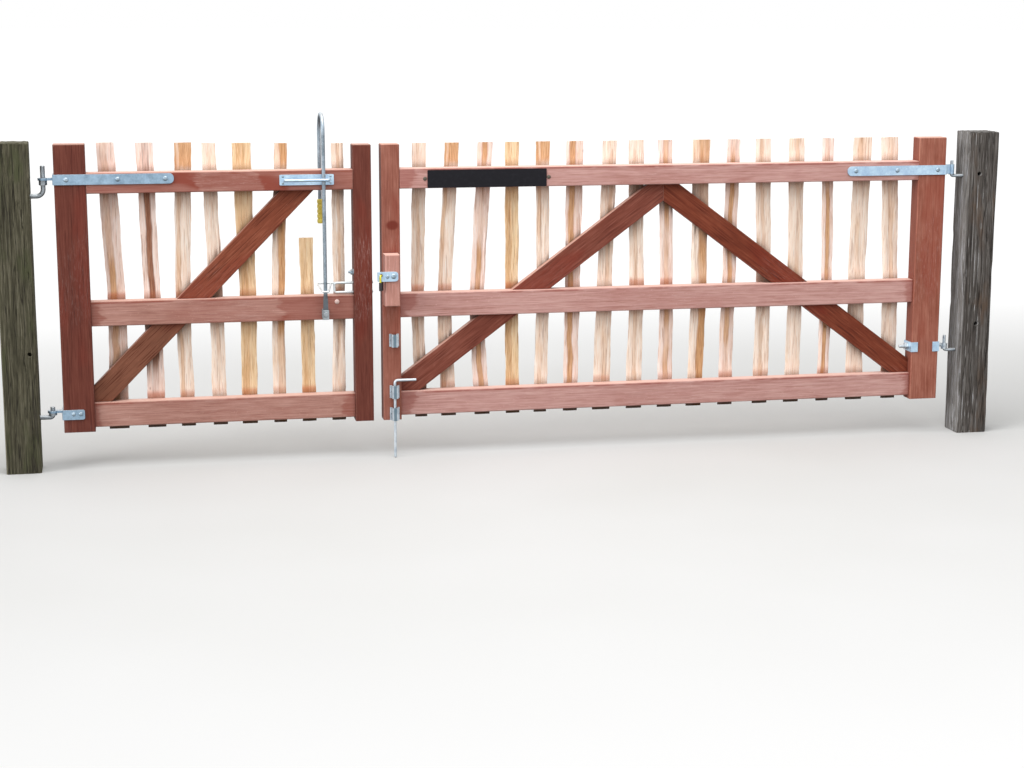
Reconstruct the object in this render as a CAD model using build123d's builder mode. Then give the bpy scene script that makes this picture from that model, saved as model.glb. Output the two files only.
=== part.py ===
"""A pair of unequal timber gate leaves with cleft pales, hung between two old oak posts.

Millimetres. +X runs along the gate, +Y away from the latch side, +Z up.
The origin is the middle of the left post's foot.
"""

import os
from math import atan2, cos, degrees, hypot, radians, sin

from build123d import *

# Posts
post_side = 150
post_height = 1390
post_arris = 5
post_hole_radius = 10
post_hole_depth = 45
left_post_holes = [(45, 510)]
right_post_holes = [(-17, 1200), (0, 513)]

# Leaves: outline and framing, heights measured from the leaf's foot
narrow_width = 1319
wide_width = 2574
stile_height = 1200
narrow_hanging_extra = 15
stile_depth = 75
hanging_stile_width = 130
shutting_stile_width = 79
top_rail_height = 86
top_rail_drop = 105
mid_rail_height = 105
mid_rail_rise = 449
bottom_rail_height = 105
bottom_rail_rise = 16
rail_recess = 18
arris = 3

# Places of the leaves between the posts
ground_gap = 165
hinge_gap = 96
meeting_gap = 43
leaf_setback = 28

# Braces
brace_width = 100
brace_depth = 38
narrow_brace_foot = 69
narrow_brace_head = 302
wide_brace_foot = 62
wide_brace_head = 68

# Cleft pales: how far foot, middle and head stand off an even spacing, then the foot and head widths
pale_depth = 20
pale_waist = 3
pale_foot_drop = 22
narrow_pale_first = 105
narrow_pale_last = 59
narrow_pale_extras = (17, 3)
wide_pale_first = 86
wide_pale_last = 84
wide_pale_extras = (0, 0)
short_pale_index = 6
short_pale_stand = 246
narrow_pale_shapes = [
    (-6, 3, -23, 84, 74),
    (19, 17, 2, 76, 70),
    (18, 8, 28, 60, 72),
    (20, 15, -2, 62, 58),
    (11, 16, 0, 66, 80),
    (9, 7, 33, 56, 56),
    (-1, -1, -2, 61, 58),
    (-6, 2, 3, 59, 52),
]
wide_pale_shapes = [
    (13, -1, 12, 54, 62),
    (-11, -30, 9, 67, 60),
    (-6, -32, 10, 68, 64),
    (-14, -19, -19, 62, 60),
    (-35, -25, -28, 58, 60),
    (-44, -37, -29, 64, 76),
    (-48, -37, -17, 80, 62),
    (-44, -33, -44, 71, 66),
    (-44, -41, -57, 67, 59),
    (-52, -38, -38, 69, 79),
    (-51, -44, -33, 67, 60),
    (-31, -23, -43, 69, 70),
    (-26, -19, -32, 68, 71),
    (-22, -14, -29, 55, 54),
    (-14, -19, -9, 78, 84),
    (7, 1, -27, 68, 80),
]

# Hooks and the eyes that turn on them, the top pair measured down from the stiles' tops
left_pin_radius = 10
right_pin_radius = 7
pin_offset = 45
pin_tip_chamfer = 2
hook_bend = 12
long_hook_bend = 28
tight_hook_bend = 8
hook_embed = 90
hook_fit = 0.1
collar_height = 10
rolled_collar_height = 3
collar_wall = 7
collar_sunk = 1
eye_clearance = 0.3
flat_eye_height = 10
flat_eye_wall = 11
flat_eye_neck = 26
ring_eye_height = 16
ring_eye_wall = 8
rolled_eye_wall = 5
rolled_eye_neck = 12
left_top_eye_drop = 130
left_top_leg_drop = 70
left_top_pin_rise = 56
left_top_nut_height = 20
left_bottom_eye_rise = 87
left_bottom_pin_rise = 21
right_top_pin_rise = 40
right_bottom_eye_rise = 243
right_bottom_pin_rise = 46

# Straps round the hanging stiles
strap_thick = 6
strap_height = 43
strap_end_radius = 19
strap_back_length = 108
narrow_strap_length = 489
narrow_strap_drop = 131
wide_strap_length = 470
wide_strap_drop = 146
short_strap_length = 88
short_strap_height = 42
short_strap_end_radius = 8
short_strap_rise = 77

# Adjustable eye bolt at the foot of the wide leaf
eye_bolt_radius = 8
eye_bolt_tail = 46
eye_bolt_fit = 0.5
nut_radius = 17
nut_thick = 16
nut_fit = 0.1
saddle_thick = 4
saddle_lip = 29
saddle_height = 45

# Latch lever, its pivot measured up from the mid rail's foot
lever_radius = 8
lever_inset = 126
lever_stand_off = 18
lever_head = 135
lever_reach = 166
lever_tail_drop = 343
lever_foot_radius = 11.5
lever_foot_thick = 8
lever_foot_height = 94
lever_foot_neck = 30
pivot_lift = 29
pivot_radius = 6
pivot_fit = 0.3
grip_radius = 13
grip_waist_radius = 9.6
grip_length = 105
grip_ribs = 5
grip_wall = 5
grip_fit = 0.1

# Lever bracket and lever guide
bracket_width = 26
bracket_height = 42
bracket_drop = 23
bracket_plate = 6
bracket_side_clearance = 1
boss_radius = 11
pivot_head_radius = 10
pivot_head_height = 7
guide_length = 230
guide_height = 45
guide_plate = 5
guide_corner = 4
guide_drop = 146
guide_inset = 81
staple_radius = 6
staple_span = 186
staple_rest_gap = 9
staple_clearance = 4
staple_bend = 12

# Draw bolt, the stirrup on it and its sockets, the lower prong just over the mid rail
bolt_radius = 5.5
bolt_fit = 0.5
bolt_bend = 9.5
bolt_spacing = 41
bolt_lift = 10
bolt_tail = 82
bolt_throw = 7
bolt_tip_chamfer = 1.5
stirrup_radius = 4
stirrup_top_width = 60
stirrup_foot_width = 25
stirrup_drop = 28
stirrup_clearance = 4
stirrup_bend = 8
socket_radius = 8.5
socket_depth = 35

# Strike block, keeper plate and padlock on the wide leaf
block_width = 64
block_height = 223
block_depth = 70
block_lift = 62
block_inset = 3
keeper_length = 90
keeper_height = 42
keeper_thick = 6
keeper_lift = 109
keeper_overhang = 34
keeper_end_radius = 13
keeper_corner = 4
keeper_hole_radius = 7
keeper_hole_inset = 16
keeper_hole_rise = 27
padlock_width = 28
padlock_height = 36
padlock_thick = 13
padlock_turn = 65
padlock_edge = 3
padlock_gap = 3
shackle_radius = 4
shackle_span = 18
shackle_rest = 2.6
shackle_seat = 10
shackle_fit = 0.1

# Drop bolt and its guides
drop_radius = 6
drop_inset = 48
drop_stand_off = 15
drop_handle_rise = 178
drop_handle_length = 93
drop_bend = 12
drop_tip_chamfer = 3
guide_sheet = 3
guide_inner_width = 20
guide_front_gap = 4
guide_flange = 8
guide_box_height = 56
guide_rises = [0, 98, 325]

# Sign plate
sign_length = 523
sign_height = 77
sign_thick = 3
sign_offset = 121
sign_drop = 8
sign_corner = 4

# Planes and lines worked out from the sizes above
leaf_front = -post_side / 2 + leaf_setback
leaf_back = leaf_front + stile_depth
leaf_middle = (leaf_front + leaf_back) / 2
rail_front = leaf_front + rail_recess
left_post_face = post_side / 2
narrow_left = left_post_face + hinge_gap
narrow_right = narrow_left + narrow_width
wide_left = narrow_right + meeting_gap
wide_right = wide_left + wide_width
right_post_face = wide_right + hinge_gap
right_post_x = right_post_face + post_side / 2
left_pin_x = narrow_left - pin_offset
right_pin_x = wide_right + pin_offset
narrow_inner_left = narrow_left + hanging_stile_width
narrow_inner_right = narrow_right - shutting_stile_width
wide_inner_left = wide_left + shutting_stile_width
wide_inner_right = wide_right - hanging_stile_width
top_rail_top = ground_gap + stile_height - top_rail_drop
top_rail_foot = top_rail_top - top_rail_height
mid_rail_foot = ground_gap + mid_rail_rise
bottom_rail_foot = ground_gap + bottom_rail_rise
bottom_rail_top = bottom_rail_foot + bottom_rail_height
pale_foot = bottom_rail_foot - pale_foot_drop
stile_top = ground_gap + stile_height
short_pale_top = mid_rail_foot + mid_rail_height + short_pale_stand
left_top_eye = stile_top - left_top_eye_drop
left_bottom_eye = ground_gap + left_bottom_eye_rise
right_top_eye = stile_top - wide_strap_drop
right_bottom_eye = ground_gap + right_bottom_eye_rise
lever_x = narrow_inner_right - lever_inset
lever_y = leaf_front - lever_stand_off
bolt_low = mid_rail_foot + mid_rail_height + bolt_lift
bolt_high = bolt_low + bolt_spacing

pieces = {}


def keep(name, builder):
    """Labels a finished sub-part and puts it on the list that is written out."""
    builder.part.label = name
    pieces[name] = builder.part


def upright(left, width, depth, foot, height, front, edge):
    """A square-cut post or stile with eased arrises."""
    with BuildPart() as timber:
        with BuildSketch(Plane.XY.offset(foot)) as section:
            with Locations((left + width / 2, front + depth / 2)):
                Rectangle(width, depth)
            chamfer(section.vertices(), edge)
        extrude(amount=height)
        chamfer(timber.faces().sort_by(Axis.Z)[-1].edges(), edge)
    return timber


def rail(left, right, foot, height, front):
    """A rail between two stiles, flush with their backs, its front arrises eased."""
    with BuildPart() as timber:
        with BuildSketch(Plane.YZ.offset(left)) as section:
            with Locations(((front + leaf_back) / 2, foot + height / 2)):
                Rectangle(leaf_back - front, height)
            chamfer(section.vertices().group_by(Axis.X)[0], arris)
        extrude(amount=right - left)
    return timber


def brace(start, end, left, right):
    """A straight brace whose upper edge runs from start to end, cut off by the frame round it."""
    slope = atan2(end[1] - start[1], end[0] - start[0])
    side = 1 if end[0] > start[0] else -1
    centre_x = (start[0] + end[0]) / 2 + side * sin(slope) * brace_width / 2
    centre_z = (start[1] + end[1]) / 2 - side * cos(slope) * brace_width / 2
    with BuildPart() as timber:
        with BuildSketch(Plane.XZ.offset(-leaf_back)):
            with Locations((centre_x, centre_z)):
                Rectangle(2 * hypot(end[0] - start[0], end[1] - start[1]), brace_width, degrees(slope))
            with Locations(((left + right) / 2, (bottom_rail_top + top_rail_foot) / 2)):
                Rectangle(right - left, top_rail_foot - bottom_rail_top, mode=Mode.INTERSECT)
        extrude(amount=brace_depth)
    return timber


def cleft_outline(centre, width, ridge):
    """The uneven five-sided section of a cleft pale, its flat face against the rails."""
    with BuildSketch() as outline:
        with BuildLine():
            Polyline(
                (centre - width / 2, leaf_back),
                (centre + width / 2, leaf_back),
                (centre + width * 0.46, leaf_back + pale_depth * 0.6),
                (centre + width * ridge, leaf_back + pale_depth),
                (centre - width * 0.46, leaf_back + pale_depth * 0.6),
                close=True,
            )
        make_face()
    return outline.sketch


def pales(first, last, extras, shapes, short_index):
    """A row of cleft pales behind the rails, each lofted from its foot through its middle to its head."""
    pitch = (last - first) / (len(shapes) - 1)
    with BuildPart() as row:
        for index, (foot, middle, head, foot_width, head_width) in enumerate(shapes):
            even = first + index * pitch
            ridge = 0.16 if index % 2 else -0.16
            waist = (foot_width + head_width) / 2 - pale_waist
            extra = extras[0] + (extras[1] - extras[0]) * index / (len(shapes) - 1)
            top = short_pale_top if index == short_index else stile_top + extra
            with BuildSketch(Plane.XY.offset(pale_foot)):
                add(cleft_outline(even + foot, foot_width, ridge))
            with BuildSketch(Plane.XY.offset(mid_rail_foot + mid_rail_height / 2)):
                add(cleft_outline(even + middle, waist, ridge))
            with BuildSketch(Plane.XY.offset(top)):
                add(cleft_outline(even + head, head_width, ridge))
            loft(ruled=True)
    return row


def hook(pin_x, post_face, radius, leg_height, bend, pin_top, collar_foot, collar_top, sides):
    """A round bar driven into the post and bent up into the hinge pin, with its shoulder or nut."""
    inward = -1 if post_face < pin_x else 1
    tail = post_face + inward * hook_embed
    with BuildPart() as bar:
        with BuildLine(Plane.XZ.offset(-leaf_middle)) as path:
            FilletPolyline((tail, leg_height), (pin_x, leg_height), (pin_x, pin_top), radius=bend)
        with BuildSketch(Plane(origin=path.line @ 0, z_dir=path.line % 0)):
            Circle(radius)
        sweep()
        chamfer(bar.faces().sort_by(Axis.Z)[-1].edges(), pin_tip_chamfer)
        with BuildSketch(Plane.XY.offset(collar_foot)):
            with Locations((pin_x, leaf_middle)):
                if sides:
                    RegularPolygon(radius + collar_wall, sides)
                else:
                    Circle(radius + collar_wall)
        extrude(amount=collar_top - collar_foot)
    return bar


def leg_under(eye_foot, collar, radius):
    """The height of a short hook's leg, whose shoulder carries the eye."""
    return eye_foot - collar + collar_sunk - radius


def short_hook(pin_x, post_face, radius, bend, eye_foot, collar, pin_top):
    """A hook whose shoulder carries the eye straight above its leg."""
    leg = leg_under(eye_foot, collar, radius)
    return hook(pin_x, post_face, radius, leg, bend, pin_top, eye_foot - collar, eye_foot, 0)


def eye_outline(pin_x, root_x, radius, wall, neck):
    """The ring that turns on a hook's pin, with its neck."""
    with BuildSketch() as outline:
        with Locations((pin_x, leaf_middle)):
            Circle(radius + eye_clearance + wall)
        with Locations(((pin_x + root_x) / 2, leaf_middle)):
            Rectangle(abs(pin_x - root_x), neck)
        with Locations((pin_x, leaf_middle)):
            Circle(radius + eye_clearance, mode=Mode.SUBTRACT)
    return outline.sketch


def strap(edge_x, length, middle, height, end_radius, eye, eye_height, ring):
    """A flat bar bent round the stile's edge, with the eye welded to its bend."""
    pin_x = ring[0]
    side = 1 if pin_x < edge_x else -1
    bend_x = edge_x - side * strap_thick
    front = leaf_front - strap_thick
    back = leaf_back + strap_thick
    front_end = edge_x + side * length
    back_end = edge_x + side * min(length, strap_back_length)
    with BuildPart() as bar:
        with BuildSketch(Plane.XY.offset(middle - height / 2)):
            with BuildLine():
                Polyline(
                    (front_end, front),
                    (bend_x, front),
                    (bend_x, back),
                    (back_end, back),
                    (back_end, leaf_back),
                    (edge_x, leaf_back),
                    (edge_x, leaf_front),
                    (front_end, leaf_front),
                    close=True,
                )
            make_face()
        extrude(amount=height)
        ends = bar.edges().filter_by(Axis.Y).filter_by(lambda edge: edge.length < 2 * strap_thick)
        fillet(ends, end_radius)
        bends = bar.edges().filter_by(Axis.Z).group_by(Axis.X)[0 if side > 0 else -1]
        fillet(bends, strap_thick)
        with BuildSketch(Plane.XY.offset(eye - eye_height / 2)):
            add(eye_outline(pin_x, bend_x, *ring[1:]))
        extrude(amount=eye_height)
    return bar


# Hooks driven into the posts
left_top_leg = left_top_eye - left_top_leg_drop
left_top_eye_foot = left_top_eye - flat_eye_height / 2
left_top_hook = hook(
    left_pin_x,
    left_post_face,
    left_pin_radius,
    left_top_leg,
    long_hook_bend,
    left_top_eye + left_top_pin_rise,
    left_top_eye_foot - left_top_nut_height,
    left_top_eye_foot,
    6,
)
keep("left_top_hook", left_top_hook)
left_bottom_eye_foot = left_bottom_eye - flat_eye_height / 2
left_bottom_hook = short_hook(
    left_pin_x,
    left_post_face,
    left_pin_radius,
    hook_bend,
    left_bottom_eye_foot,
    collar_height,
    left_bottom_eye + left_bottom_pin_rise,
)
keep("left_bottom_hook", left_bottom_hook)
right_top_eye_foot = right_top_eye - strap_height / 2
right_top_hook = short_hook(
    right_pin_x,
    right_post_face,
    right_pin_radius,
    tight_hook_bend,
    right_top_eye_foot,
    rolled_collar_height,
    right_top_eye + right_top_pin_rise,
)
keep("right_top_hook", right_top_hook)
right_bottom_eye_foot = right_bottom_eye - ring_eye_height / 2
right_bottom_hook = short_hook(
    right_pin_x,
    right_post_face,
    right_pin_radius,
    hook_bend,
    right_bottom_eye_foot,
    collar_height,
    right_bottom_eye + right_bottom_pin_rise,
)
keep("right_bottom_hook", right_bottom_hook)


def post(centre_x, face, radius, legs, holes):
    """An oak post bored for its two hooks, with the empty holes that older fittings left in its front."""
    inward = 1 if face < centre_x else -1
    with BuildPart() as timber:
        add(upright(centre_x - post_side / 2, post_side, post_side, 0, post_height, -post_side / 2, post_arris))
        with BuildSketch(Plane.YZ.offset(face)):
            for leg in legs:
                with Locations((leaf_middle, leg)):
                    Circle(radius + hook_fit)
        extrude(amount=inward * hook_embed, mode=Mode.SUBTRACT)
        with BuildSketch(Plane.XZ.offset(post_side / 2)):
            for across, up in holes:
                with Locations((centre_x + across, up)):
                    Circle(post_hole_radius)
        extrude(amount=-post_hole_depth, mode=Mode.SUBTRACT)
    return timber


# Posts
left_legs = [left_top_leg, leg_under(left_bottom_eye_foot, collar_height, left_pin_radius)]
right_legs = [
    leg_under(right_top_eye_foot, rolled_collar_height, right_pin_radius),
    leg_under(right_bottom_eye_foot, collar_height, right_pin_radius),
]
keep("left_post", post(0, left_post_face, left_pin_radius, left_legs, left_post_holes))
keep("right_post", post(right_post_x, right_post_face, right_pin_radius, right_legs, right_post_holes))

# Narrow leaf: frame
narrow_hanging_height = stile_height + narrow_hanging_extra
narrow_hanging_stile = upright(
    narrow_left, hanging_stile_width, stile_depth, ground_gap, narrow_hanging_height, leaf_front, arris
)
keep("narrow_hanging_stile", narrow_hanging_stile)
with BuildPart() as narrow_shutting_stile:
    add(
        upright(
            narrow_inner_right, shutting_stile_width, stile_depth, ground_gap, stile_height, leaf_front, arris
        )
    )
    with BuildSketch(Plane.YZ.offset(narrow_inner_right)):
        with Locations((leaf_middle, bolt_low), (leaf_middle, bolt_high)):
            Circle(bolt_radius + bolt_fit)
    extrude(amount=shutting_stile_width, mode=Mode.SUBTRACT)
keep("narrow_shutting_stile", narrow_shutting_stile)
narrow_top_rail = rail(narrow_inner_left, narrow_inner_right, top_rail_foot, top_rail_height, leaf_front)
keep("narrow_top_rail", narrow_top_rail)
narrow_bottom_rail = rail(
    narrow_inner_left, narrow_inner_right, bottom_rail_foot, bottom_rail_height, rail_front
)
keep("narrow_bottom_rail", narrow_bottom_rail)
narrow_brace = brace(
    (narrow_inner_left, bottom_rail_top + narrow_brace_foot),
    (narrow_inner_right - narrow_brace_head, top_rail_foot),
    narrow_inner_left,
    narrow_inner_right,
)
keep("narrow_brace", narrow_brace)
with BuildPart() as narrow_mid_rail:
    add(rail(narrow_inner_left, narrow_inner_right, mid_rail_foot, mid_rail_height, rail_front))
    add(narrow_brace.part, mode=Mode.SUBTRACT)
keep("narrow_mid_rail", narrow_mid_rail)
narrow_pales = pales(
    narrow_inner_left + narrow_pale_first,
    narrow_inner_right - narrow_pale_last,
    narrow_pale_extras,
    narrow_pale_shapes,
    short_pale_index,
)
keep("narrow_pales", narrow_pales)

# Narrow leaf: straps
flat_ring = (left_pin_x, left_pin_radius, flat_eye_wall, flat_eye_neck)
narrow_top_strap = strap(
    narrow_left,
    narrow_strap_length,
    stile_top - narrow_strap_drop,
    strap_height,
    strap_end_radius,
    left_top_eye,
    flat_eye_height,
    flat_ring,
)
keep("narrow_top_strap", narrow_top_strap)
narrow_bottom_strap = strap(
    narrow_left,
    short_strap_length,
    ground_gap + short_strap_rise,
    short_strap_height,
    short_strap_end_radius,
    left_bottom_eye,
    flat_eye_height,
    flat_ring,
)
keep("narrow_bottom_strap", narrow_bottom_strap)

# Wide leaf: frame
with BuildPart() as wide_shutting_stile:
    add(upright(wide_left, shutting_stile_width, stile_depth, ground_gap, stile_height, leaf_front, arris))
    with BuildSketch(Plane.YZ.offset(wide_left)):
        with Locations((leaf_middle, bolt_low), (leaf_middle, bolt_high)):
            Circle(socket_radius)
    extrude(amount=socket_depth, mode=Mode.SUBTRACT)
keep("wide_shutting_stile", wide_shutting_stile)
with BuildPart() as wide_hanging_stile:
    add(
        upright(
            wide_inner_right, hanging_stile_width, stile_depth, ground_gap, stile_height, leaf_front, arris
        )
    )
    with BuildSketch(Plane.YZ.offset(wide_inner_right)):
        with Locations((leaf_middle, right_bottom_eye)):
            Circle(eye_bolt_radius + eye_bolt_fit)
    extrude(amount=hanging_stile_width, mode=Mode.SUBTRACT)
keep("wide_hanging_stile", wide_hanging_stile)
wide_top_rail = rail(wide_inner_left, wide_inner_right, top_rail_foot, top_rail_height, leaf_front)
keep("wide_top_rail", wide_top_rail)
wide_bottom_rail = rail(
    wide_inner_left, wide_inner_right, bottom_rail_foot, bottom_rail_height, rail_front
)
keep("wide_bottom_rail", wide_bottom_rail)
wide_apex_x = (wide_inner_left + wide_inner_right) / 2
wide_left_brace = brace(
    (wide_inner_left, bottom_rail_top + wide_brace_foot),
    (wide_apex_x - wide_brace_head, top_rail_foot),
    wide_inner_left,
    wide_apex_x,
)
keep("wide_left_brace", wide_left_brace)
wide_right_brace = brace(
    (wide_inner_right, bottom_rail_top + wide_brace_foot),
    (wide_apex_x + wide_brace_head, top_rail_foot),
    wide_apex_x,
    wide_inner_right,
)
keep("wide_right_brace", wide_right_brace)
with BuildPart() as wide_mid_rail:
    add(rail(wide_inner_left, wide_inner_right, mid_rail_foot, mid_rail_height, rail_front))
    add(wide_left_brace.part, mode=Mode.SUBTRACT)
    add(wide_right_brace.part, mode=Mode.SUBTRACT)
keep("wide_mid_rail", wide_mid_rail)
wide_pales = pales(
    wide_inner_left + wide_pale_first,
    wide_inner_right - wide_pale_last,
    wide_pale_extras,
    wide_pale_shapes,
    None,
)
keep("wide_pales", wide_pales)

# Wide leaf: top strap, rolled into an eye as tall as the bar
rolled_ring = (right_pin_x, right_pin_radius, rolled_eye_wall, rolled_eye_neck)
wide_top_strap = strap(
    wide_right,
    wide_strap_length,
    right_top_eye,
    strap_height,
    strap_end_radius,
    right_top_eye,
    strap_height,
    rolled_ring,
)
keep("wide_top_strap", wide_top_strap)

# Wide leaf: the eye bolt through the foot of the hanging stile, its nut and its two saddles
eye_bolt_end = wide_inner_right - eye_bolt_tail
with BuildPart() as wide_eye_bolt:
    with BuildSketch(Plane.YZ.offset(eye_bolt_end)):
        with Locations((leaf_middle, right_bottom_eye)):
            Circle(eye_bolt_radius)
    extrude(amount=right_pin_x - right_pin_radius - eye_clearance - eye_bolt_end)
    chamfer(wide_eye_bolt.faces().sort_by(Axis.X)[0].edges(), pin_tip_chamfer)
    with BuildSketch(Plane.XY.offset(right_bottom_eye_foot)):
        add(
            eye_outline(
                right_pin_x,
                right_pin_x - right_pin_radius - ring_eye_wall,
                right_pin_radius,
                ring_eye_wall,
                2 * eye_bolt_radius,
            )
        )
    extrude(amount=ring_eye_height)
    with BuildSketch(Plane.XY.offset(right_bottom_eye - eye_bolt_radius)):
        with Locations((right_pin_x, leaf_middle)):
            Circle(right_pin_radius + eye_clearance)
    extrude(amount=2 * eye_bolt_radius, mode=Mode.SUBTRACT)
keep("wide_eye_bolt", wide_eye_bolt)
with BuildPart() as wide_eye_nut:
    with BuildSketch(Plane.YZ.offset(wide_inner_right - saddle_thick)):
        with Locations((leaf_middle, right_bottom_eye)):
            RegularPolygon(nut_radius, 6)
            Circle(eye_bolt_radius + nut_fit, mode=Mode.SUBTRACT)
    extrude(amount=-nut_thick)
keep("wide_eye_nut", wide_eye_nut)
with BuildPart() as wide_eye_saddles:
    for edge_x, inward in ((wide_inner_right, 1), (wide_right, -1)):
        with BuildSketch(Plane.XY.offset(right_bottom_eye - saddle_height / 2)):
            with BuildLine():
                Polyline(
                    (edge_x - inward * saddle_thick, leaf_front - saddle_thick),
                    (edge_x + inward * saddle_lip, leaf_front - saddle_thick),
                    (edge_x + inward * saddle_lip, leaf_front),
                    (edge_x, leaf_front),
                    (edge_x, leaf_back),
                    (edge_x + inward * saddle_lip, leaf_back),
                    (edge_x + inward * saddle_lip, leaf_back + saddle_thick),
                    (edge_x - inward * saddle_thick, leaf_back + saddle_thick),
                    close=True,
                )
            make_face()
        extrude(amount=saddle_height)
    with BuildSketch(Plane.YZ.offset(wide_inner_right - saddle_thick)):
        with Locations((leaf_middle, right_bottom_eye)):
            Circle(eye_bolt_radius + eye_bolt_fit)
    extrude(amount=hanging_stile_width + 2 * saddle_thick, mode=Mode.SUBTRACT)
keep("wide_eye_saddles", wide_eye_saddles)

# Latch lever: a round bar bent over the gate, flattened where it turns on its bracket
arch_radius = lever_reach / 2
arch_foot = stile_top + lever_head - lever_radius - arch_radius
tail_y = lever_y + lever_reach
tail_foot = stile_top - lever_tail_drop
pivot_height = mid_rail_foot + pivot_lift
foot_top = pivot_height + lever_foot_height
neck_foot = foot_top - lever_foot_neck
with BuildPart() as latch_lever:
    with BuildLine(Plane.YZ.offset(lever_x)) as lever_path:
        Line((lever_y, foot_top), (lever_y, arch_foot))
        ThreePointArc(
            (lever_y, arch_foot), (lever_y + arch_radius, arch_foot + arch_radius), (tail_y, arch_foot)
        )
        Line((tail_y, arch_foot), (tail_y, tail_foot))
    with BuildSketch(Plane(origin=(lever_x, lever_y, foot_top), z_dir=(0, 0, 1))):
        Circle(lever_radius)
    sweep()
    with BuildSketch(Plane.XY.offset(neck_foot)):
        with Locations((lever_x, lever_y)):
            Ellipse(lever_foot_radius * 0.85, lever_foot_thick / 2)
    with BuildSketch(Plane.XY.offset(foot_top)):
        with Locations((lever_x, lever_y)):
            Circle(lever_radius)
    loft()
    with BuildSketch(Plane.XZ.offset(-lever_y - lever_foot_thick / 2)):
        with Locations((lever_x, pivot_height)):
            Circle(lever_foot_radius)
        with Locations((lever_x, neck_foot)):
            Rectangle(2 * lever_foot_radius * 0.85, 2)
        make_hull()
        with Locations((lever_x, pivot_height)):
            Circle(pivot_radius + pivot_fit, mode=Mode.SUBTRACT)
    extrude(amount=lever_foot_thick)
keep("latch_lever", latch_lever)

# Ribbed grip on the lever's tail
rib_pitch = grip_length / grip_ribs
grip_foot = tail_foot - grip_wall
with BuildPart() as lever_grip:
    with BuildSketch(Plane.XZ.offset(-tail_y)):
        with BuildLine():
            outline = [(lever_x, grip_foot), (lever_x + grip_waist_radius, grip_foot)]
            for rib in range(grip_ribs):
                low = grip_foot + rib * rib_pitch
                outline.append((lever_x + grip_radius, low + rib_pitch * 0.25))
                outline.append((lever_x + grip_radius, low + rib_pitch * 0.75))
                outline.append((lever_x + grip_waist_radius, low + rib_pitch))
            outline.append((lever_x, grip_foot + grip_length))
            Polyline(*outline, close=True)
        make_face()
    revolve(axis=Axis((lever_x, tail_y, 0), (0, 0, 1)))
    with BuildSketch(Plane.XY.offset(tail_foot)):
        with Locations((lever_x, tail_y)):
            Circle(lever_radius + grip_fit)
    extrude(amount=grip_length, mode=Mode.SUBTRACT)
keep("lever_grip", lever_grip)

# Bracket that carries the lever's pivot on the mid rail
ear_back = lever_y - lever_foot_thick / 2 - bracket_side_clearance
boss_front = lever_y + lever_foot_thick / 2 + bracket_side_clearance
back_plate_front = rail_front - bracket_plate
bracket_foot = pivot_height - bracket_drop
bracket_top = bracket_foot + bracket_height
with BuildPart() as lever_bracket:
    with BuildSketch(Plane.YZ.offset(lever_x - bracket_width / 2)):
        with BuildLine():
            Polyline(
                (rail_front, bracket_foot),
                (rail_front, bracket_top),
                (back_plate_front, bracket_top),
                (back_plate_front, bracket_foot + bracket_plate),
                (ear_back, bracket_foot + bracket_plate),
                (ear_back, bracket_top),
                (ear_back - bracket_plate, bracket_top),
                (ear_back - bracket_plate, bracket_foot),
                close=True,
            )
        make_face()
    extrude(amount=bracket_width)
    with BuildSketch(Plane.XZ.offset(-back_plate_front)):
        with Locations((lever_x, pivot_height)):
            Circle(boss_radius)
    extrude(amount=back_plate_front - boss_front)
    with BuildSketch(Plane.XZ.offset(-back_plate_front)):
        with Locations((lever_x, pivot_height)):
            Circle(pivot_radius)
    extrude(amount=back_plate_front - ear_back)
    with BuildSketch(Plane.XZ.offset(-ear_back + bracket_plate)):
        with Locations((lever_x, pivot_height)):
            Circle(pivot_head_radius)
    extrude(amount=pivot_head_height)
    fillet(lever_bracket.faces().sort_by(Axis.Y)[0].edges(), 2)
keep("lever_bracket", lever_bracket)

# Guide for the lever on the top rail
staple_y = lever_y - lever_radius - staple_clearance - staple_radius
staple_right = lever_x + lever_radius + staple_rest_gap + staple_radius
staple_left = staple_right - staple_span
guide_front = leaf_front - guide_plate
guide_middle = stile_top - guide_drop
with BuildPart() as lever_guide:
    with BuildSketch(Plane.XZ.offset(-leaf_front)) as plate:
        with Locations((narrow_inner_right - guide_inset - guide_length / 2, guide_middle)):
            Rectangle(guide_length, guide_height)
        fillet(plate.vertices(), guide_corner)
    extrude(amount=guide_plate)
    with BuildLine(Plane.XY.offset(guide_middle)) as staple_path:
        FilletPolyline(
            (staple_left, guide_front),
            (staple_left, staple_y),
            (staple_right, staple_y),
            (staple_right, guide_front),
            radius=staple_bend,
        )
    with BuildSketch(Plane(origin=staple_path.line @ 0, z_dir=staple_path.line % 0)):
        Circle(staple_radius)
    sweep()
keep("lever_guide", lever_guide)

# Draw bolt: one bar bent into two prongs
bolt_left = narrow_inner_right - bolt_tail
bolt_tip = narrow_right + bolt_throw
with BuildPart() as draw_bolt:
    with BuildLine(Plane.XZ.offset(-leaf_middle)) as bolt_path:
        FilletPolyline(
            (bolt_tip, bolt_low),
            (bolt_left, bolt_low),
            (bolt_left, bolt_high),
            (bolt_tip, bolt_high),
            radius=bolt_bend,
        )
    with BuildSketch(Plane(origin=bolt_path.line @ 0, z_dir=bolt_path.line % 0)):
        Circle(bolt_radius)
    sweep()
    chamfer(draw_bolt.faces().group_by(Axis.X)[-1].edges(), bolt_tip_chamfer)
keep("draw_bolt", draw_bolt)

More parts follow.
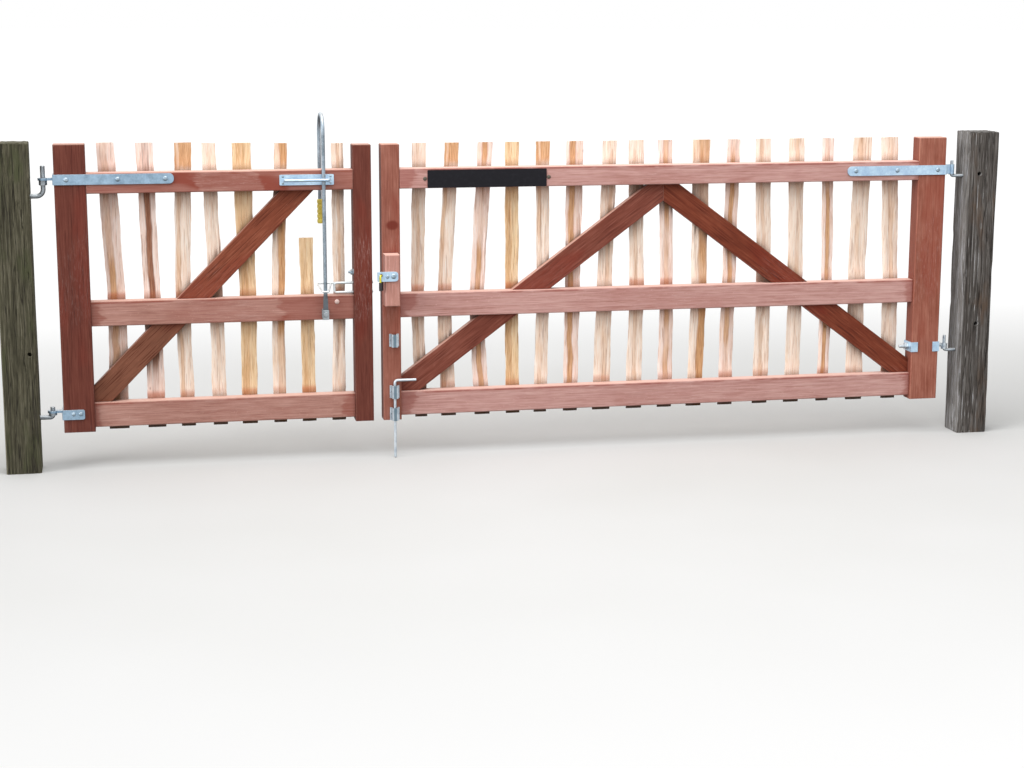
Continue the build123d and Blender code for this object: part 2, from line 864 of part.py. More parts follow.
# Stirrup: a bent rod round the lever, welded to the corner of the draw bolt
stirrup_front = lever_y - lever_radius - stirrup_clearance - stirrup_radius
stirrup_run = hypot(leaf_middle - stirrup_front, stirrup_drop)
stirrup_plane = Plane(
    origin=(lever_x, leaf_middle, bolt_high),
    x_dir=(1, 0, 0),
    z_dir=(0, -stirrup_drop, leaf_middle - stirrup_front),
)
with BuildPart() as bolt_stirrup:
    with BuildLine(stirrup_plane) as stirrup_path:
        FilletPolyline(
            (stirrup_top_width / 2, 0),
            (stirrup_foot_width / 2, -stirrup_run),
            (-stirrup_foot_width / 2, -stirrup_run),
            (-stirrup_top_width / 2, 0),
            close=True,
            radius=stirrup_bend,
        )
    with BuildSketch(Plane(origin=stirrup_path.line @ 0, z_dir=stirrup_path.line % 0)):
        Circle(stirrup_radius)
    sweep()
    with BuildSketch(Plane.YZ.offset(lever_x)):
        with Locations((leaf_middle, bolt_high)):
            Circle(stirrup_radius)
    extrude(amount=bolt_left + bolt_bend - lever_x)
    add(draw_bolt.part, mode=Mode.SUBTRACT)
keep("bolt_stirrup", bolt_stirrup)

# Strike block and keeper plate
block_front = leaf_front - block_depth
block_left = wide_left + block_inset
keeper_left = block_left - keeper_overhang
block_foot = mid_rail_foot + block_lift
keeper_foot = block_foot + keeper_lift
with BuildPart() as strike_block:
    with BuildSketch(Plane.XZ.offset(-leaf_front)):
        with Locations((block_left + block_width / 2, block_foot + block_height / 2)):
            Rectangle(block_width, block_height)
    extrude(amount=block_depth)
    chamfer(strike_block.faces().sort_by(Axis.Y)[0].edges(), arris)
keep("strike_block", strike_block)
with BuildPart() as keeper_plate:
    with BuildSketch(Plane.XZ.offset(-block_front)) as keeper_outline:
        with Locations((keeper_left + keeper_length / 2, keeper_foot + keeper_height / 2)):
            Rectangle(keeper_length, keeper_height)
        fillet(keeper_outline.vertices().group_by(Axis.X)[-1], keeper_end_radius)
        fillet(keeper_outline.vertices().group_by(Axis.X)[0], keeper_corner)
        with Locations((keeper_left + keeper_hole_inset, keeper_foot + keeper_hole_rise)):
            Circle(keeper_hole_radius, mode=Mode.SUBTRACT)
    extrude(amount=keeper_thick)
keep("keeper_plate", keeper_plate)

# Padlock, hanging from the keeper plate's hole
hole_x = keeper_left + keeper_hole_inset
hole_foot = keeper_foot + keeper_hole_rise - keeper_hole_radius
padlock_y = block_front - keeper_thick / 2
padlock_top = keeper_foot - padlock_gap
padlock_across = (cos(radians(padlock_turn)), sin(radians(padlock_turn)), 0)
with BuildPart() as padlock_body:
    with BuildSketch(Plane(origin=(hole_x, padlock_y, padlock_top), x_dir=padlock_across, z_dir=(0, 0, 1))):
        RectangleRounded(padlock_width, padlock_thick, padlock_edge)
    extrude(amount=-padlock_height)
    fillet(padlock_body.faces().sort_by(Axis.Z)[0].edges(), padlock_edge / 2)
    with BuildSketch(Plane(origin=(hole_x, padlock_y, padlock_top), x_dir=padlock_across, z_dir=(0, 0, 1))):
        with Locations((-shackle_span / 2, 0), (shackle_span / 2, 0)):
            Circle(shackle_radius + shackle_fit)
    extrude(amount=-shackle_seat, mode=Mode.SUBTRACT)
keep("padlock_body", padlock_body)
crown_centre = hole_foot + shackle_rest - shackle_span / 2 + shackle_radius
shackle_plane = Plane(
    origin=(hole_x, padlock_y, crown_centre),
    x_dir=padlock_across,
    z_dir=(padlock_across[1], -padlock_across[0], 0),
)
shackle_leg = crown_centre - padlock_top + shackle_seat
with BuildPart() as padlock_shackle:
    with BuildLine(shackle_plane) as shackle_path:
        Line((-shackle_span / 2, -shackle_leg), (-shackle_span / 2, 0))
        ThreePointArc((-shackle_span / 2, 0), (0, shackle_span / 2), (shackle_span / 2, 0))
        Line((shackle_span / 2, 0), (shackle_span / 2, -shackle_leg))
    with BuildSketch(Plane(origin=shackle_path.line @ 0, z_dir=shackle_path.line % 0)):
        Circle(shackle_radius)
    sweep()
keep("padlock_shackle", padlock_shackle)

# Drop bolt and its guides
drop_x = wide_left + drop_inset
drop_y = leaf_front - drop_stand_off
drop_handle = ground_gap + drop_handle_rise
with BuildPart() as drop_bolt:
    with BuildLine(Plane.XZ.offset(-drop_y)) as drop_path:
        FilletPolyline(
            (drop_x, 0), (drop_x, drop_handle), (drop_x + drop_handle_length, drop_handle), radius=drop_bend
        )
    with BuildSketch(Plane(origin=drop_path.line @ 0, z_dir=drop_path.line % 0)):
        Circle(drop_radius)
    sweep()
    chamfer(drop_bolt.faces().sort_by(Axis.Z)[0].edges(), drop_tip_chamfer)
keep("drop_bolt", drop_bolt)
guide_depth = drop_stand_off + drop_radius + guide_front_gap
with BuildPart() as drop_bolt_guides:
    for rise in guide_rises:
        with BuildSketch(Plane.XY.offset(ground_gap + rise)):
            with Locations((drop_x, leaf_front - (guide_depth + guide_sheet) / 2)):
                Rectangle(guide_inner_width + 2 * guide_sheet, guide_depth + guide_sheet)
            with Locations((drop_x, leaf_front - guide_sheet / 2)):
                Rectangle(guide_inner_width + 2 * guide_sheet + 2 * guide_flange, guide_sheet)
            with Locations((drop_x, leaf_front - guide_depth / 2)):
                Rectangle(guide_inner_width, guide_depth, mode=Mode.SUBTRACT)
        extrude(amount=guide_box_height)
keep("drop_bolt_guides", drop_bolt_guides)

# Sign plate
with BuildPart() as sign_plate:
    with BuildSketch(Plane.XZ.offset(-leaf_front)):
        with Locations(
            (wide_inner_left + sign_offset + sign_length / 2, top_rail_top - sign_drop - sign_height / 2)
        ):
            RectangleRounded(sign_length, sign_height, sign_corner)
    extrude(amount=sign_thick)
keep("sign_plate", sign_plate)

os.makedirs("parts", exist_ok=True)
for name, solid in pieces.items():
    export_step(solid, f"parts/{name}.step")
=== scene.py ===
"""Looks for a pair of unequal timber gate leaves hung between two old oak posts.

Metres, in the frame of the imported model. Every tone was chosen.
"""

import math

import bmesh
import bpy
from mathutils import Matrix, Vector, noise


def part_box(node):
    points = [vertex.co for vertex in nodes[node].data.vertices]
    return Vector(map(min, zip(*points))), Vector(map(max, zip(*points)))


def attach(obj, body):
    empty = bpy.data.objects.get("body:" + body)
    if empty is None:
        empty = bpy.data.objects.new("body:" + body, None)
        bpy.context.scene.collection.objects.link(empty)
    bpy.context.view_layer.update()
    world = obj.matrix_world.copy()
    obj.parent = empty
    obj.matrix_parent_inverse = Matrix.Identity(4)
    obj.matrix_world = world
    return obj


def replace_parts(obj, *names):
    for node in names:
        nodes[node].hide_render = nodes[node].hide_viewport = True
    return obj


# Where the photographer stood, in metres and degrees, and the lens
CAMERA_PLACE = (0.4235, -8.3001, 1.9221)
CAMERA_PITCH = 79.13
CAMERA_HEADING = -11.51
CAMERA_ROLL = 0.08
CAMERA_LENS = 68.29
CAMERA_SENSOR = 36.0
CAMERA_RANGE = 200.0

# Light
SKY_LEVEL = 0.72
LAMP_TARGET = (2.1, 0.0, 0.7)
TOP_LAMP_PLACE = (1.9, -1.6, 5.0)
TOP_LAMP_SIZE = 4.5
TOP_LAMP_POWER = 170.0
LEFT_LAMP_PLACE = (-8.0, -4.4, 4.5)
LEFT_LAMP_SPREAD = 30
LEFT_LAMP_POWER = 1.5

# The studio floor, which fades to white between two distances
FLOOR_SIZE = 400.0
FLOOR_PARTS = 8
FLOOR_MIDDLE = (2.1, 0.0, 0.0)
FLOOR_BOUNCE = (0.24, 0.22, 0.2, 1.0)
FADE_FROM = 1.0
FADE_TO = 5.0

# Directions of the grain, as turns of a piece whose grain would stand upright
UPRIGHT = (0.0, 0.0, 0.0)
ALONG = (0.0, math.pi / 2, 0.0)

# Directions that fasteners point in
FRONT = (0, -1, 0)
REAR = (0, 1, 0)
LEFT = (-1, 0, 0)

# Rows of bolt heads: the node whose front they stand on, their places across, height and radius
NARROW_HEADS = (
    ("narrow_top_strap", (0.220, 0.430, 0.625), 1.234, 0.0100),
    ("narrow_bottom_strap", (0.212, 0.242), 0.245, 0.0085),
)
WIDE_HEADS = (
    ("wide_top_strap", (3.676, 3.873, 4.067), 1.220, 0.0100),
    ("keeper_plate", (1.572,), 0.808, 0.0115),
    ("keeper_plate", (1.546,), 0.806, 0.008),
)
STAINED_HEADS = (("narrow_mid_rail", (1.338,), 0.691, 0.0105),)

# Bolt ends: radius and height of the nut, radius of the bolt and how far it stands out
STRAP_BOLT_END = (0.0098, 0.008, 0.005, 0.006)
STILE_BOLT_END = (0.0115, 0.010, 0.006, 0.009)
STILE_BOLT_PLACE = (-0.018, 0.817)

# Screws of plates on the framing: how far in from the plate's ends, its thickness and a head's radius
LEVER_GUIDE_SCREWS = (0.014, 0.005, 0.0045)
DROP_GUIDE_SCREWS = (0.004, 0.003, 0.003)
DROP_GUIDE_HEIGHTS = (0.193, 0.291, 0.518)
# Half width of the guides' hollow, which is darkened by painted shade
DROP_GUIDE_SHADED_HOLLOW = 0.0065

# The height below which the lever is darkened by painted shade
LEVER_SHADED_BELOW = 0.727

# The sign's fixings, just outside its ends
SIGN_GAPS = (0.011, 0.010)
SIGN_FIXING_HEIGHT = 1.215
SIGN_FIXING_RADIUS = 0.0085

# Edges of new pieces look sharp from this angle, in degrees
SHARP_ANGLE = 38

# Forms of bolts and nuts
HEAD_SIDES = 24
HEAD_STEPS = 6
ROUND_SIDES = 20
WASHER_SIDES = 28
NUT_SIDES = 6
WASHER_DEPTH = 0.0022
CHAMFER = 0.0012
THREAD_STEP = 0.0009
THREAD_DEPTH = 0.0006

# Forms of pales: height of a ring, points across the front, and points up a side as shares of the width
# and of the depth
RING_HEIGHT = 0.011
FRONT_POINTS = 9
PALE_SIDE = ((0.0, 0.32), (0.015, 0.55), (0.06, 0.66))
RIDGE_DROP = 0.0022
BEHIND_RAIL = 0.07

# Forms of posts: the net that is worn, and how near to a face counts as on it
POST_NET = 0.005
POST_SKIN = 0.004
SAME_PLACE = 1e-6

# The dark knot in the wide shutting stile
KNOT_INSET = 0.046
KNOT_HEIGHT = 1.018
KNOT_HALF_HEIGHT = 0.020

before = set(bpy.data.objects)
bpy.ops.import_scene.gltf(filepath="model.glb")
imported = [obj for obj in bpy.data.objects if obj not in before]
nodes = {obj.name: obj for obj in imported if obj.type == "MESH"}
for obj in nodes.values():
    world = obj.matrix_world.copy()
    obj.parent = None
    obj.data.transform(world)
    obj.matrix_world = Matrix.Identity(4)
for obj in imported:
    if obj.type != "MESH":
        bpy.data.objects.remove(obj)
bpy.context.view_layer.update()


def tone(red, green, blue):
    """A colour as a picture shows it, as the light values that Blender works with."""
    shares = []
    for part in (red, green, blue):
        share = part / 255
        shares.append(share / 12.92 if share <= 0.04045 else ((share + 0.055) / 1.055) ** 2.4)
    return (*shares, 1.0)


WHITE = (1.0, 1.0, 1.0, 1.0)
BLACK = (0.0, 0.0, 0.0, 1.0)

# Stained softwood
RED_STAIN = tone(150, 52, 36)
BROWNED_STAIN = tone(120, 88, 70)
STAINED_KNOT = tone(112, 40, 28)
SCRATCHED = tone(236, 214, 208)
# Stain worn thin on arrises with a painted highlight, and the painted highlight on upward faces
RUBBED_AND_LIT = tone(255, 214, 196)
# Darkens grain lines, and also gives the painted shade on sides and where pieces meet
DEEPENED = (0.62, 0.52, 0.52, 1.0)

# Cleft pales
PALE_KNOT = tone(104, 62, 36)
SMEARED_STAIN = tone(214, 118, 74)
# A foot darkened by stain and by painted shade
STAINED_AND_SHADED_FOOT = tone(44, 28, 20)
# Painted highlight on upward-facing cut heads
CUT_HEAD_HIGHLIGHT = tone(255, 246, 236)
# Painted shade where pieces meet
PALE_CORNER_SHADE = tone(74, 48, 32)

# Oak, zinc, paint and floor
OPEN_CHECK = tone(34, 30, 27)
# Painted highlights on edges and on upward faces
ZINC_EDGE_HIGHLIGHT = tone(238, 242, 244)
ZINC_TOP_HIGHLIGHT = tone(242, 245, 246)
# Painted shade low on the lever
ZINC_LOW_SHADE = tone(88, 92, 96)
# Painted shade in the drop bolt guides' hollow
ZINC_HOLLOW_SHADE = tone(84, 112, 128)
# Painted shade where painted pieces meet
PAINT_CORNER_SHADE = (0.34, 0.32, 0.3, 1.0)
FLOOR_TONES = (tone(207, 207, 205), tone(212, 212, 211))

# Uniform settings of surfaces with little shine
DULL = {"Specular IOR Level": 0.22}


def direct_rays(tree):
    """1 for what the camera sees, also mirrored or through glass, and 0 for other light."""
    path = tree.nodes.new("ShaderNodeLightPath")
    seen = path.outputs["Is Camera Ray"]
    for kind in ("Is Glossy Ray", "Is Transmission Ray"):
        either = tree.nodes.new("ShaderNodeMath")
        either.operation = "MAXIMUM"
        tree.links.new(seen, either.inputs[0])
        tree.links.new(path.outputs[kind], either.inputs[1])
        seen = either.outputs[0]
    return seen


class Finish:
    """One node material, with short names for its nodes. Its colour is built up in coats."""

    def __init__(self, name):
        self.material = bpy.data.materials.new(name)
        self.material.use_nodes = True
        self.tree = self.material.node_tree
        self.shader = self.tree.nodes["Principled BSDF"]
        self.place = self.new("TexCoord").outputs["Object"]
        self.colour = WHITE

    def new(self, kind, inputs=None, **settings):
        """A node with its settings, and with its inputs by name or number."""
        node = self.tree.nodes.new("ShaderNode" + kind)
        for name, value in settings.items():
            setattr(node, name, value)
        for key, value in (inputs or {}).items():
            self.feed(node.inputs[key], value)
        return node

    def feed(self, socket, value):
        if isinstance(value, bpy.types.NodeSocket):
            self.tree.links.new(value, socket)
        else:
            socket.default_value = value

    def sum_of(self, operation, *values):
        return self.new("Math", dict(enumerate(values)), operation=operation).outputs[0]

    def times(self, first, second):
        return self.sum_of("MULTIPLY", first, second)

    def plus(self, value, factor, added):
        """The value times the factor, plus what is added."""
        return self.sum_of("MULTIPLY_ADD", value, factor, added)

    def less(self, first, second):
        return self.sum_of("SUBTRACT", first, second)

    def size_of(self, value):
        return self.sum_of("ABSOLUTE", value)

    def vector(self, operation, first, second=(0.0, 0.0, 0.0)):
        node = self.new("VectorMath", {0: first, 1: second}, operation=operation)
        return node.outputs["Value" if operation in ("DOT_PRODUCT", "LENGTH") else "Vector"]

    def stretched(self, vector, scale):
        return self.vector("MULTIPLY", vector, scale)

    def drawn(self, vector, share):
        """The vector, for noise that is drawn out along Z by a share below 1."""
        return self.stretched(vector, (1.0, 1.0, share))

    def part_of(self, vector, axis):
        return self.new("SeparateXYZ", {"Vector": vector}).outputs[axis]

    def facing(self, axis):
        """How far the surface faces along an axis of its piece, the same at every pose."""
        return self.part_of(self.new("TexCoord").outputs["Normal"], axis)

    def grain(self, centre, turn, stretch):
        """Coordinates from a point near the pith, with Z along the grain and drawn out there."""
        scale = (1.0, 1.0, stretch)
        inputs = {"Vector": self.place, "Location": centre, "Rotation": turn, "Scale": scale}
        return self.new("Mapping", inputs, vector_type="TEXTURE").outputs["Vector"]

    def noise_node(self, vector, scale, detail, roughness=0.5):
        inputs = {"Vector": vector, "Scale": scale, "Detail": detail, "Roughness": roughness}
        return self.new("TexNoise", inputs)

    def noise(self, vector, scale, detail=2.0, roughness=0.5):
        return self.noise_node(vector, scale, detail, roughness).outputs["Fac"]

    def drift(self, vector, scale, amount):
        """The vector, pushed about by slow noise."""
        pushed = self.noise_node(vector, scale, 1.0).outputs["Color"]
        centred = self.vector("SUBTRACT", pushed, (0.5, 0.5, 0.5))
        return self.vector("ADD", vector, self.stretched(centred, (amount, amount, amount)))

    def rings(self, vector, scale, distortion):
        inputs = {"Vector": vector, "Scale": scale, "Distortion": distortion}
        inputs.update({"Detail": 2.0, "Detail Scale": 1.2})
        node = self.new("TexWave", inputs, wave_type="RINGS", rings_direction="Z", wave_profile="SAW")
        return node.outputs["Fac"]

    def ramp(self, value, *stops):
        """Colours along a value, each stop a place and a tone."""
        node = self.new("ValToRGB", {"Fac": value})
        elements = node.color_ramp.elements
        elements[0].position, elements[0].color = stops[0]
        elements[1].position, elements[1].color = stops[-1]
        for position, colour in stops[1:-1]:
            elements.new(position).color = colour
        return node.outputs["Color"]

    def between(self, value, low, high):
        """0 below low, 1 above high and smooth in between."""
        inputs = {"Value": value, "From Min": low, "From Max": high}
        return self.new("MapRange", inputs, interpolation_type="SMOOTHSTEP").outputs["Result"]

    def fading(self, value, low, high):
        """1 below low, 0 above high and smooth in between."""
        return self.less(1.0, self.between(value, low, high))

    def scaled(self, value, low, high):
        """A value from 0 to 1, as one from low to high."""
        return self.new("MapRange", {"Value": value, "To Min": low, "To Max": high}).outputs["Result"]

    def mix(self, factor, first, second, blend="MIX"):
        """Two colours mixed. A Mix node has its colours at inputs 6 and 7 and at output 2."""
        inputs = {0: factor, 6: first, 7: second}
        return self.new("Mix", inputs, data_type="RGBA", blend_type=blend).outputs[2]

    def coat(self, share, tint, strength=1.0):
        """Lays a tint over the colour, as far as a share from 0 to 1 and a strength tell."""
        factor = share if strength == 1.0 else self.times(share, strength)
        self.colour = self.mix(factor, self.colour, tint)

    def edges(self, radius):
        """1 on edges and 0 on flat faces, and the softened normal it comes from."""
        soft = self.new("Bevel", {"Radius": radius}, samples=4)
        flat = self.new("NewGeometry").outputs["Normal"]
        level = self.vector("DOT_PRODUCT", soft.outputs["Normal"], flat)
        return self.between(self.less(1.0, level), 0.02, 0.2), soft.outputs["Normal"]

    def corners(self, reach, full=0.85):
        """How much painted shade falls where pieces meet, from 0 in the open to 0.75 in a tight corner."""
        node = self.new("AmbientOcclusion", {"Distance": reach}, samples=6)
        hidden = self.less(1.0, node.outputs["AO"])
        return self.times(self.between(hidden, 0.15, full), 0.75)

    def bump(self, height, distance, strength, normal=None):
        inputs = {"Height": height, "Distance": distance, "Strength": strength}
        if normal is not None:
            inputs["Normal"] = normal
        return self.new("Bump", inputs).outputs["Normal"]

    def finish(self, roughness, normal, **others):
        inputs = {"Base Color": self.colour, "Roughness": roughness, "Normal": normal, **others}
        for name, value in inputs.items():
            self.feed(self.shader.inputs[name], value)
        return self.material


class StainedWood(Finish):
    """Brushed red-brown stain on planed softwood, thin on the arrises."""

    def __init__(self, name, centre, turn, tones):
        super().__init__(name)
        self.dark, self.middle, self.light = tones
        self.wood = self.drift(self.grain(centre, turn, 14.0), 5.0, 0.02)
        self.ringed = self.rings(self.wood, 30.0, 1.6)
        self.streaks = self.noise(self.drawn(self.wood, 0.5), 170.0, 3.0, 0.65)
        self.fibres = self.noise(self.drawn(self.wood, 0.35), 430.0, 2.0, 0.6)
        self.patches = self.noise(self.drawn(self.wood, 5.0), 9.0, 4.0, 0.7)
        self.red = self.mix(0.55, self.dark, RED_STAIN)
        # Dark for grain lines, and for the painted shade on sides and where pieces meet
        self.deep = self.mix(1.0, self.dark, DEEPENED, "MULTIPLY")
        # Light for arrises where the stain is worn thin, with a painted highlight there and on upper faces
        self.rubbed_and_lit = self.mix(0.6, self.light, RUBBED_AND_LIT)

    def soak(self, blotched):
        """The stain as the wood took it up, darker in some fibres and in blotches."""
        depth = self.times(self.ringed, 0.06)
        depth = self.plus(self.streaks, 0.3, depth)
        depth = self.plus(self.fibres, 0.3, depth)
        depth = self.plus(self.patches, blotched, depth)
        even = 0.33 + blotched / 2
        spread = 0.19
        self.colour = self.ramp(
            depth, (even - spread, self.dark), (even, self.middle), (even + spread, self.light)
        )

    def brown_below(self, height):
        """Wood that has lost some of its red below a height."""
        ragged = self.plus(self.patches, 0.1, self.part_of(self.place, "Z"))
        self.coat(self.fading(ragged, height, height + 0.1), BROWNED_STAIN, 0.5)

    def keep_red(self, kept):
        """Patches that haven't faded."""
        patches = self.noise(self.drawn(self.wood, 4.0), 4.2, 3.0, 0.6)
        self.unfaded = self.times(self.between(patches, 0.54, 0.62), kept)
        self.coat(self.unfaded, self.red)

    def draw_lines(self, lined):
        """Dark lines along the grain."""
        lines = self.noise(self.drawn(self.wood, 0.4), 230.0)
        self.coat(self.between(lines, 0.53, 0.66), self.deep, lined)

    def scratch(self, scratched):
        """Pale scratches, gathered in some places, and specks everywhere."""
        scratches = self.noise(self.drawn(self.wood, 0.8), 360.0, 4.0, 0.75)
        gathered = self.between(self.noise(self.drawn(self.wood, 9.0), 4.0), 0.46, 0.56)
        shown = self.times(self.between(scratches, 0.5, 0.72), self.times(gathered, scratched))
        self.coat(shown, self.mix(0.5, self.light, SCRATCHED))
        specks = self.noise(self.place, 150.0, 2.0, 0.6)
        self.coat(self.between(specks, 0.64, 0.74), self.light, 0.45)

    def redden_rail(self, low, high, left_reach, right_reach):
        """Red left beside a rail's joints, each to its reach, and under its upper edge."""
        below_edge = self.less(high.z - 0.003, self.part_of(self.place, "Z"))
        strip = self.fading(below_edge, 0.003, 0.012)
        self.coat(self.times(strip, self.between(self.patches, 0.4, 0.56)), self.red, 0.8)
        across = self.part_of(self.place, "X")
        from_left = self.less(across, low.x + left_reach)
        from_right = self.less(high.x - right_reach, across)
        near = self.sum_of("MINIMUM", from_left, from_right)
        ragged = self.plus(self.less(self.patches, 0.5), 0.3, near)
        beside = self.fading(ragged, -0.01, 0.02)
        strength = self.scaled(self.between(self.unfaded, 0.0, 0.5), 0.5, 0.85)
        self.coat(self.times(beside, strength), self.red)

    def add_knot(self, place, half_height):
        """A dark knot, wider than it is high."""
        from_knot = self.vector("SUBTRACT", self.place, place)
        flat = self.stretched(from_knot, (0.75 / half_height, 0.0, 1.0 / half_height))
        self.coat(self.fading(self.vector("LENGTH", flat), 0.7, 1.3), STAINED_KNOT, 0.85)

    def wear(self):
        """Sides darkened as painted shade, arrises lightened where the stain is worn thin and by a painted
        highlight, a painted highlight on upper faces and painted shade where pieces meet.
        """
        # Painted shade on the sides
        self.coat(self.between(self.size_of(self.facing("X")), 0.85, 0.98), self.deep, 0.55)
        worn, soft = self.edges(0.004)
        # Stain worn thin on the arrises, lightened further by a painted highlight
        self.coat(self.times(worn, self.between(self.patches, 0.35, 0.6)), self.rubbed_and_lit, 0.45)
        # Painted highlight on upward faces
        self.coat(self.between(self.facing("Z"), 0.55, 0.9), self.rubbed_and_lit, 0.85)
        # Painted shade where pieces meet
        self.coat(self.corners(0.03), self.deep)
        relief = self.plus(self.ringed, 0.4, self.times(self.fibres, 0.6))
        normal = self.bump(relief, 0.0006, 0.8, soft)
        return self.finish(self.scaled(self.streaks, 0.5, 0.75), normal, **DULL)


def stained_wood(name, centre, turn, tones, look, browned=None, rail=None, knot=None):
    """A timber's finish, with its pith at centre and its grain along turn.

    Look gives the strength of the dark lines, the blotches, the red patches and the pale scratches.
    Browned is a height, rail a box with the reach of the red at each end, and knot a place and half height.
    """
    lined, blotched, kept, scratched = look
    wood = StainedWood(name, centre, turn, tones)
    wood.soak(blotched)
    if browned is not None:
        wood.brown_below(browned)
    wood.keep_red(kept)
    wood.draw_lines(lined)
    wood.scratch(scratched)
    if rail is not None:
        wood.redden_rail(*rail)
    if knot is not None:
        wood.add_knot(*knot)
    return wood.wear()


class CleftWood(Finish):
    """Freshly cleft chestnut: pale sapwood, a warm heart, a few knots and a foot darkened by stain and
    painted shade.
    """

    def __init__(self, name, sapwood, heartwood, heart):
        super().__init__(name)
        self.heartwood = heartwood
        self.middle, self.half_width, self.strength, self.headed = heart
        self.chance = self.new("ObjectInfo").outputs["Random"]
        sizes = enumerate((7.3, 3.1, 11.7))
        shift = self.new("CombineXYZ", {index: self.times(self.chance, size) for index, size in sizes})
        self.shifted = self.vector("ADD", self.place, shift.outputs["Vector"])
        self.height = self.part_of(self.place, "Z")
        self.long_way = self.drift(self.drawn(self.shifted, 0.04), 9.0, 0.012)
        self.fibres = self.noise(self.long_way, 260.0, 3.0, 0.65)
        self.wander = self.noise(self.stretched(self.shifted, (0.1, 0.1, 1.0)), 3.2, 2.0, 0.6)
        self.stains = self.noise(self.drawn(self.shifted, 0.4), 16.0, 3.0, 0.6)
        self.colour = self.ramp(self.fibres, *zip((0.25, 0.5, 0.75), sapwood))
        self.warm = self.ramp(self.fibres, *zip((0.25, 0.5, 0.75), heartwood))

    def from_heart(self):
        """How far a point is from the middle of the heart, as a share of the pale's width."""
        across = self.new("Attribute", attribute_name="across").outputs["Fac"]
        usual_shift = 0.35
        aside = self.less(across, self.middle + usual_shift)
        aside = self.plus(self.wander, 0.5, aside)
        aside = self.plus(self.chance, 0.2, aside)
        return self.plus(self.less(self.fibres, 0.5), 0.12, self.size_of(aside))

    def show_heart(self, top_line):
        """The heart with its darker rim, and its tone in the wood above the top rail."""
        aside = self.from_heart()
        presence = self.noise(self.stretched(self.shifted, (0.6, 0.6, 1.0)), 2.3, 2.0, 0.6)
        shown = self.times(self.scaled(self.between(presence, 0.38, 0.56), 0.25, 1.0), self.strength)
        inside = self.fading(aside, self.half_width * 0.7, self.half_width * 1.3)
        self.coat(self.times(inside, shown), self.warm)
        above = self.between(self.plus(self.stains, 0.1, self.height), top_line + 0.03, top_line + 0.08)
        self.coat(self.times(above, self.between(aside, 0.04, 0.12)), self.warm, self.headed)
        rim = self.fading(self.size_of(self.less(aside, self.half_width)), 0.01, 0.06)
        self.coat(self.times(rim, shown), self.heartwood[0], 0.35)

    def mark(self):
        """Faint stains, dark fibres and knots."""
        self.coat(self.between(self.stains, 0.52, 0.7), self.heartwood[2], 0.2)
        lines = self.noise(self.long_way, 190.0)
        self.coat(self.between(lines, 0.58, 0.66), self.heartwood[0], 0.38)
        knots = self.new("TexVoronoi", {"Vector": self.drawn(self.shifted, 0.55), "Scale": 9.0})
        self.coat(self.fading(knots.outputs["Distance"], 0.03, 0.07), PALE_KNOT, 0.75)

    def smear_above(self, line):
        """Stain caught from the upper edge of a rail."""
        above = self.plus(self.fibres, -0.03, self.less(self.height, line))
        smeared = self.times(self.fading(above, 0.0, 0.024), self.between(self.height, line - 0.004, line))
        self.coat(self.times(smeared, self.between(self.wander, 0.4, 0.6)), SMEARED_STAIN, 0.55)

    def wear(self, foot_line):
        """A foot darkened by stain and painted shade, a painted highlight on the cut head and painted shade
        where pieces meet.
        """
        ragged = self.plus(self.stains, -0.02, self.height)
        # Stain and painted shade at the foot
        self.coat(self.fading(ragged, foot_line - 0.018, foot_line - 0.004), STAINED_AND_SHADED_FOOT, 0.9)
        # Painted highlight on the upward-facing cut head
        self.coat(self.between(self.facing("Z"), 0.55, 0.9), CUT_HEAD_HIGHLIGHT, 0.7)
        # Painted shade where pieces meet
        self.coat(self.corners(0.06, 0.6), PALE_CORNER_SHADE)
        fine = self.noise(self.long_way, 800.0, 2.0, 0.6)
        normal = self.bump(self.fibres, 0.0010, 0.8, self.bump(fine, 0.0004, 0.6))
        return self.finish(self.scaled(self.fibres, 0.62, 0.85), normal, **DULL)


def cleft_wood(name, sapwood, heartwood, heart, rail_lines):
    """A pale's finish.

    Heart gives its middle across the pale, half its width, its strength, and how far the wood above the
    top rail has its tone. Rail lines are the foot of the lowest rail and the upper edges of all three.
    """
    foot_line, bottom_line, mid_line, top_line = rail_lines
    wood = CleftWood(name, sapwood, heartwood, heart)
    wood.show_heart(top_line)
    wood.mark()
    for line in (bottom_line, mid_line):
        wood.smear_above(line)
    return wood.wear(foot_line)


def old_oak(name, dark, middle, light, tint, lit_side_tone):
    """Weathered oak: silver ridges, dark checks and stained patches, with painted highlights on upward
    faces and on the left-facing side.
    """
    paint = Finish(name)
    long_way = paint.drift(paint.drawn(paint.place, 0.045), 7.0, 0.015)
    ridges = paint.noise(long_way, 130.0, 4.0, 0.7)
    fine = paint.noise(long_way, 560.0, 2.0, 0.6)
    depth = paint.plus(ridges, 0.75, paint.times(fine, 0.25))
    paint.colour = paint.ramp(depth, (0.34, dark), (0.5, middle), (0.66, light))
    patches = paint.noise(paint.drawn(paint.place, 0.35), 11.0, 3.0, 0.6)
    paint.coat(paint.between(patches, 0.5, 0.7), tint, 0.8)
    shade = paint.scaled(paint.noise(paint.drawn(paint.place, 0.2), 22.0), 0.72, 1.22)
    paint.colour = paint.mix(1.0, paint.colour, shade, "MULTIPLY")
    checks = paint.noise(paint.drawn(long_way, 0.8), 48.0)
    cracked = paint.fading(paint.size_of(paint.less(checks, 0.5)), 0.0, 0.02)
    paint.coat(cracked, OPEN_CHECK, 0.7)
    worn = paint.edges(0.006)[0]
    paint.coat(worn, light, 0.35)
    # Painted highlight on upward faces
    paint.coat(paint.between(paint.facing("Z"), 0.5, 0.9), light, 0.45)
    # Painted light on the left-facing side
    lit_side = paint.between(paint.times(paint.facing("X"), -1.0), 0.3, 0.8)
    lit_side_tones = paint.ramp(depth, (0.34, middle), (0.5, light), (0.66, lit_side_tone))
    paint.coat(lit_side, lit_side_tones, 0.75)
    normal = paint.bump(paint.less(depth, cracked), 0.004, 0.9)
    return paint.finish(paint.scaled(ridges, 0.78, 0.95), normal, **DULL)


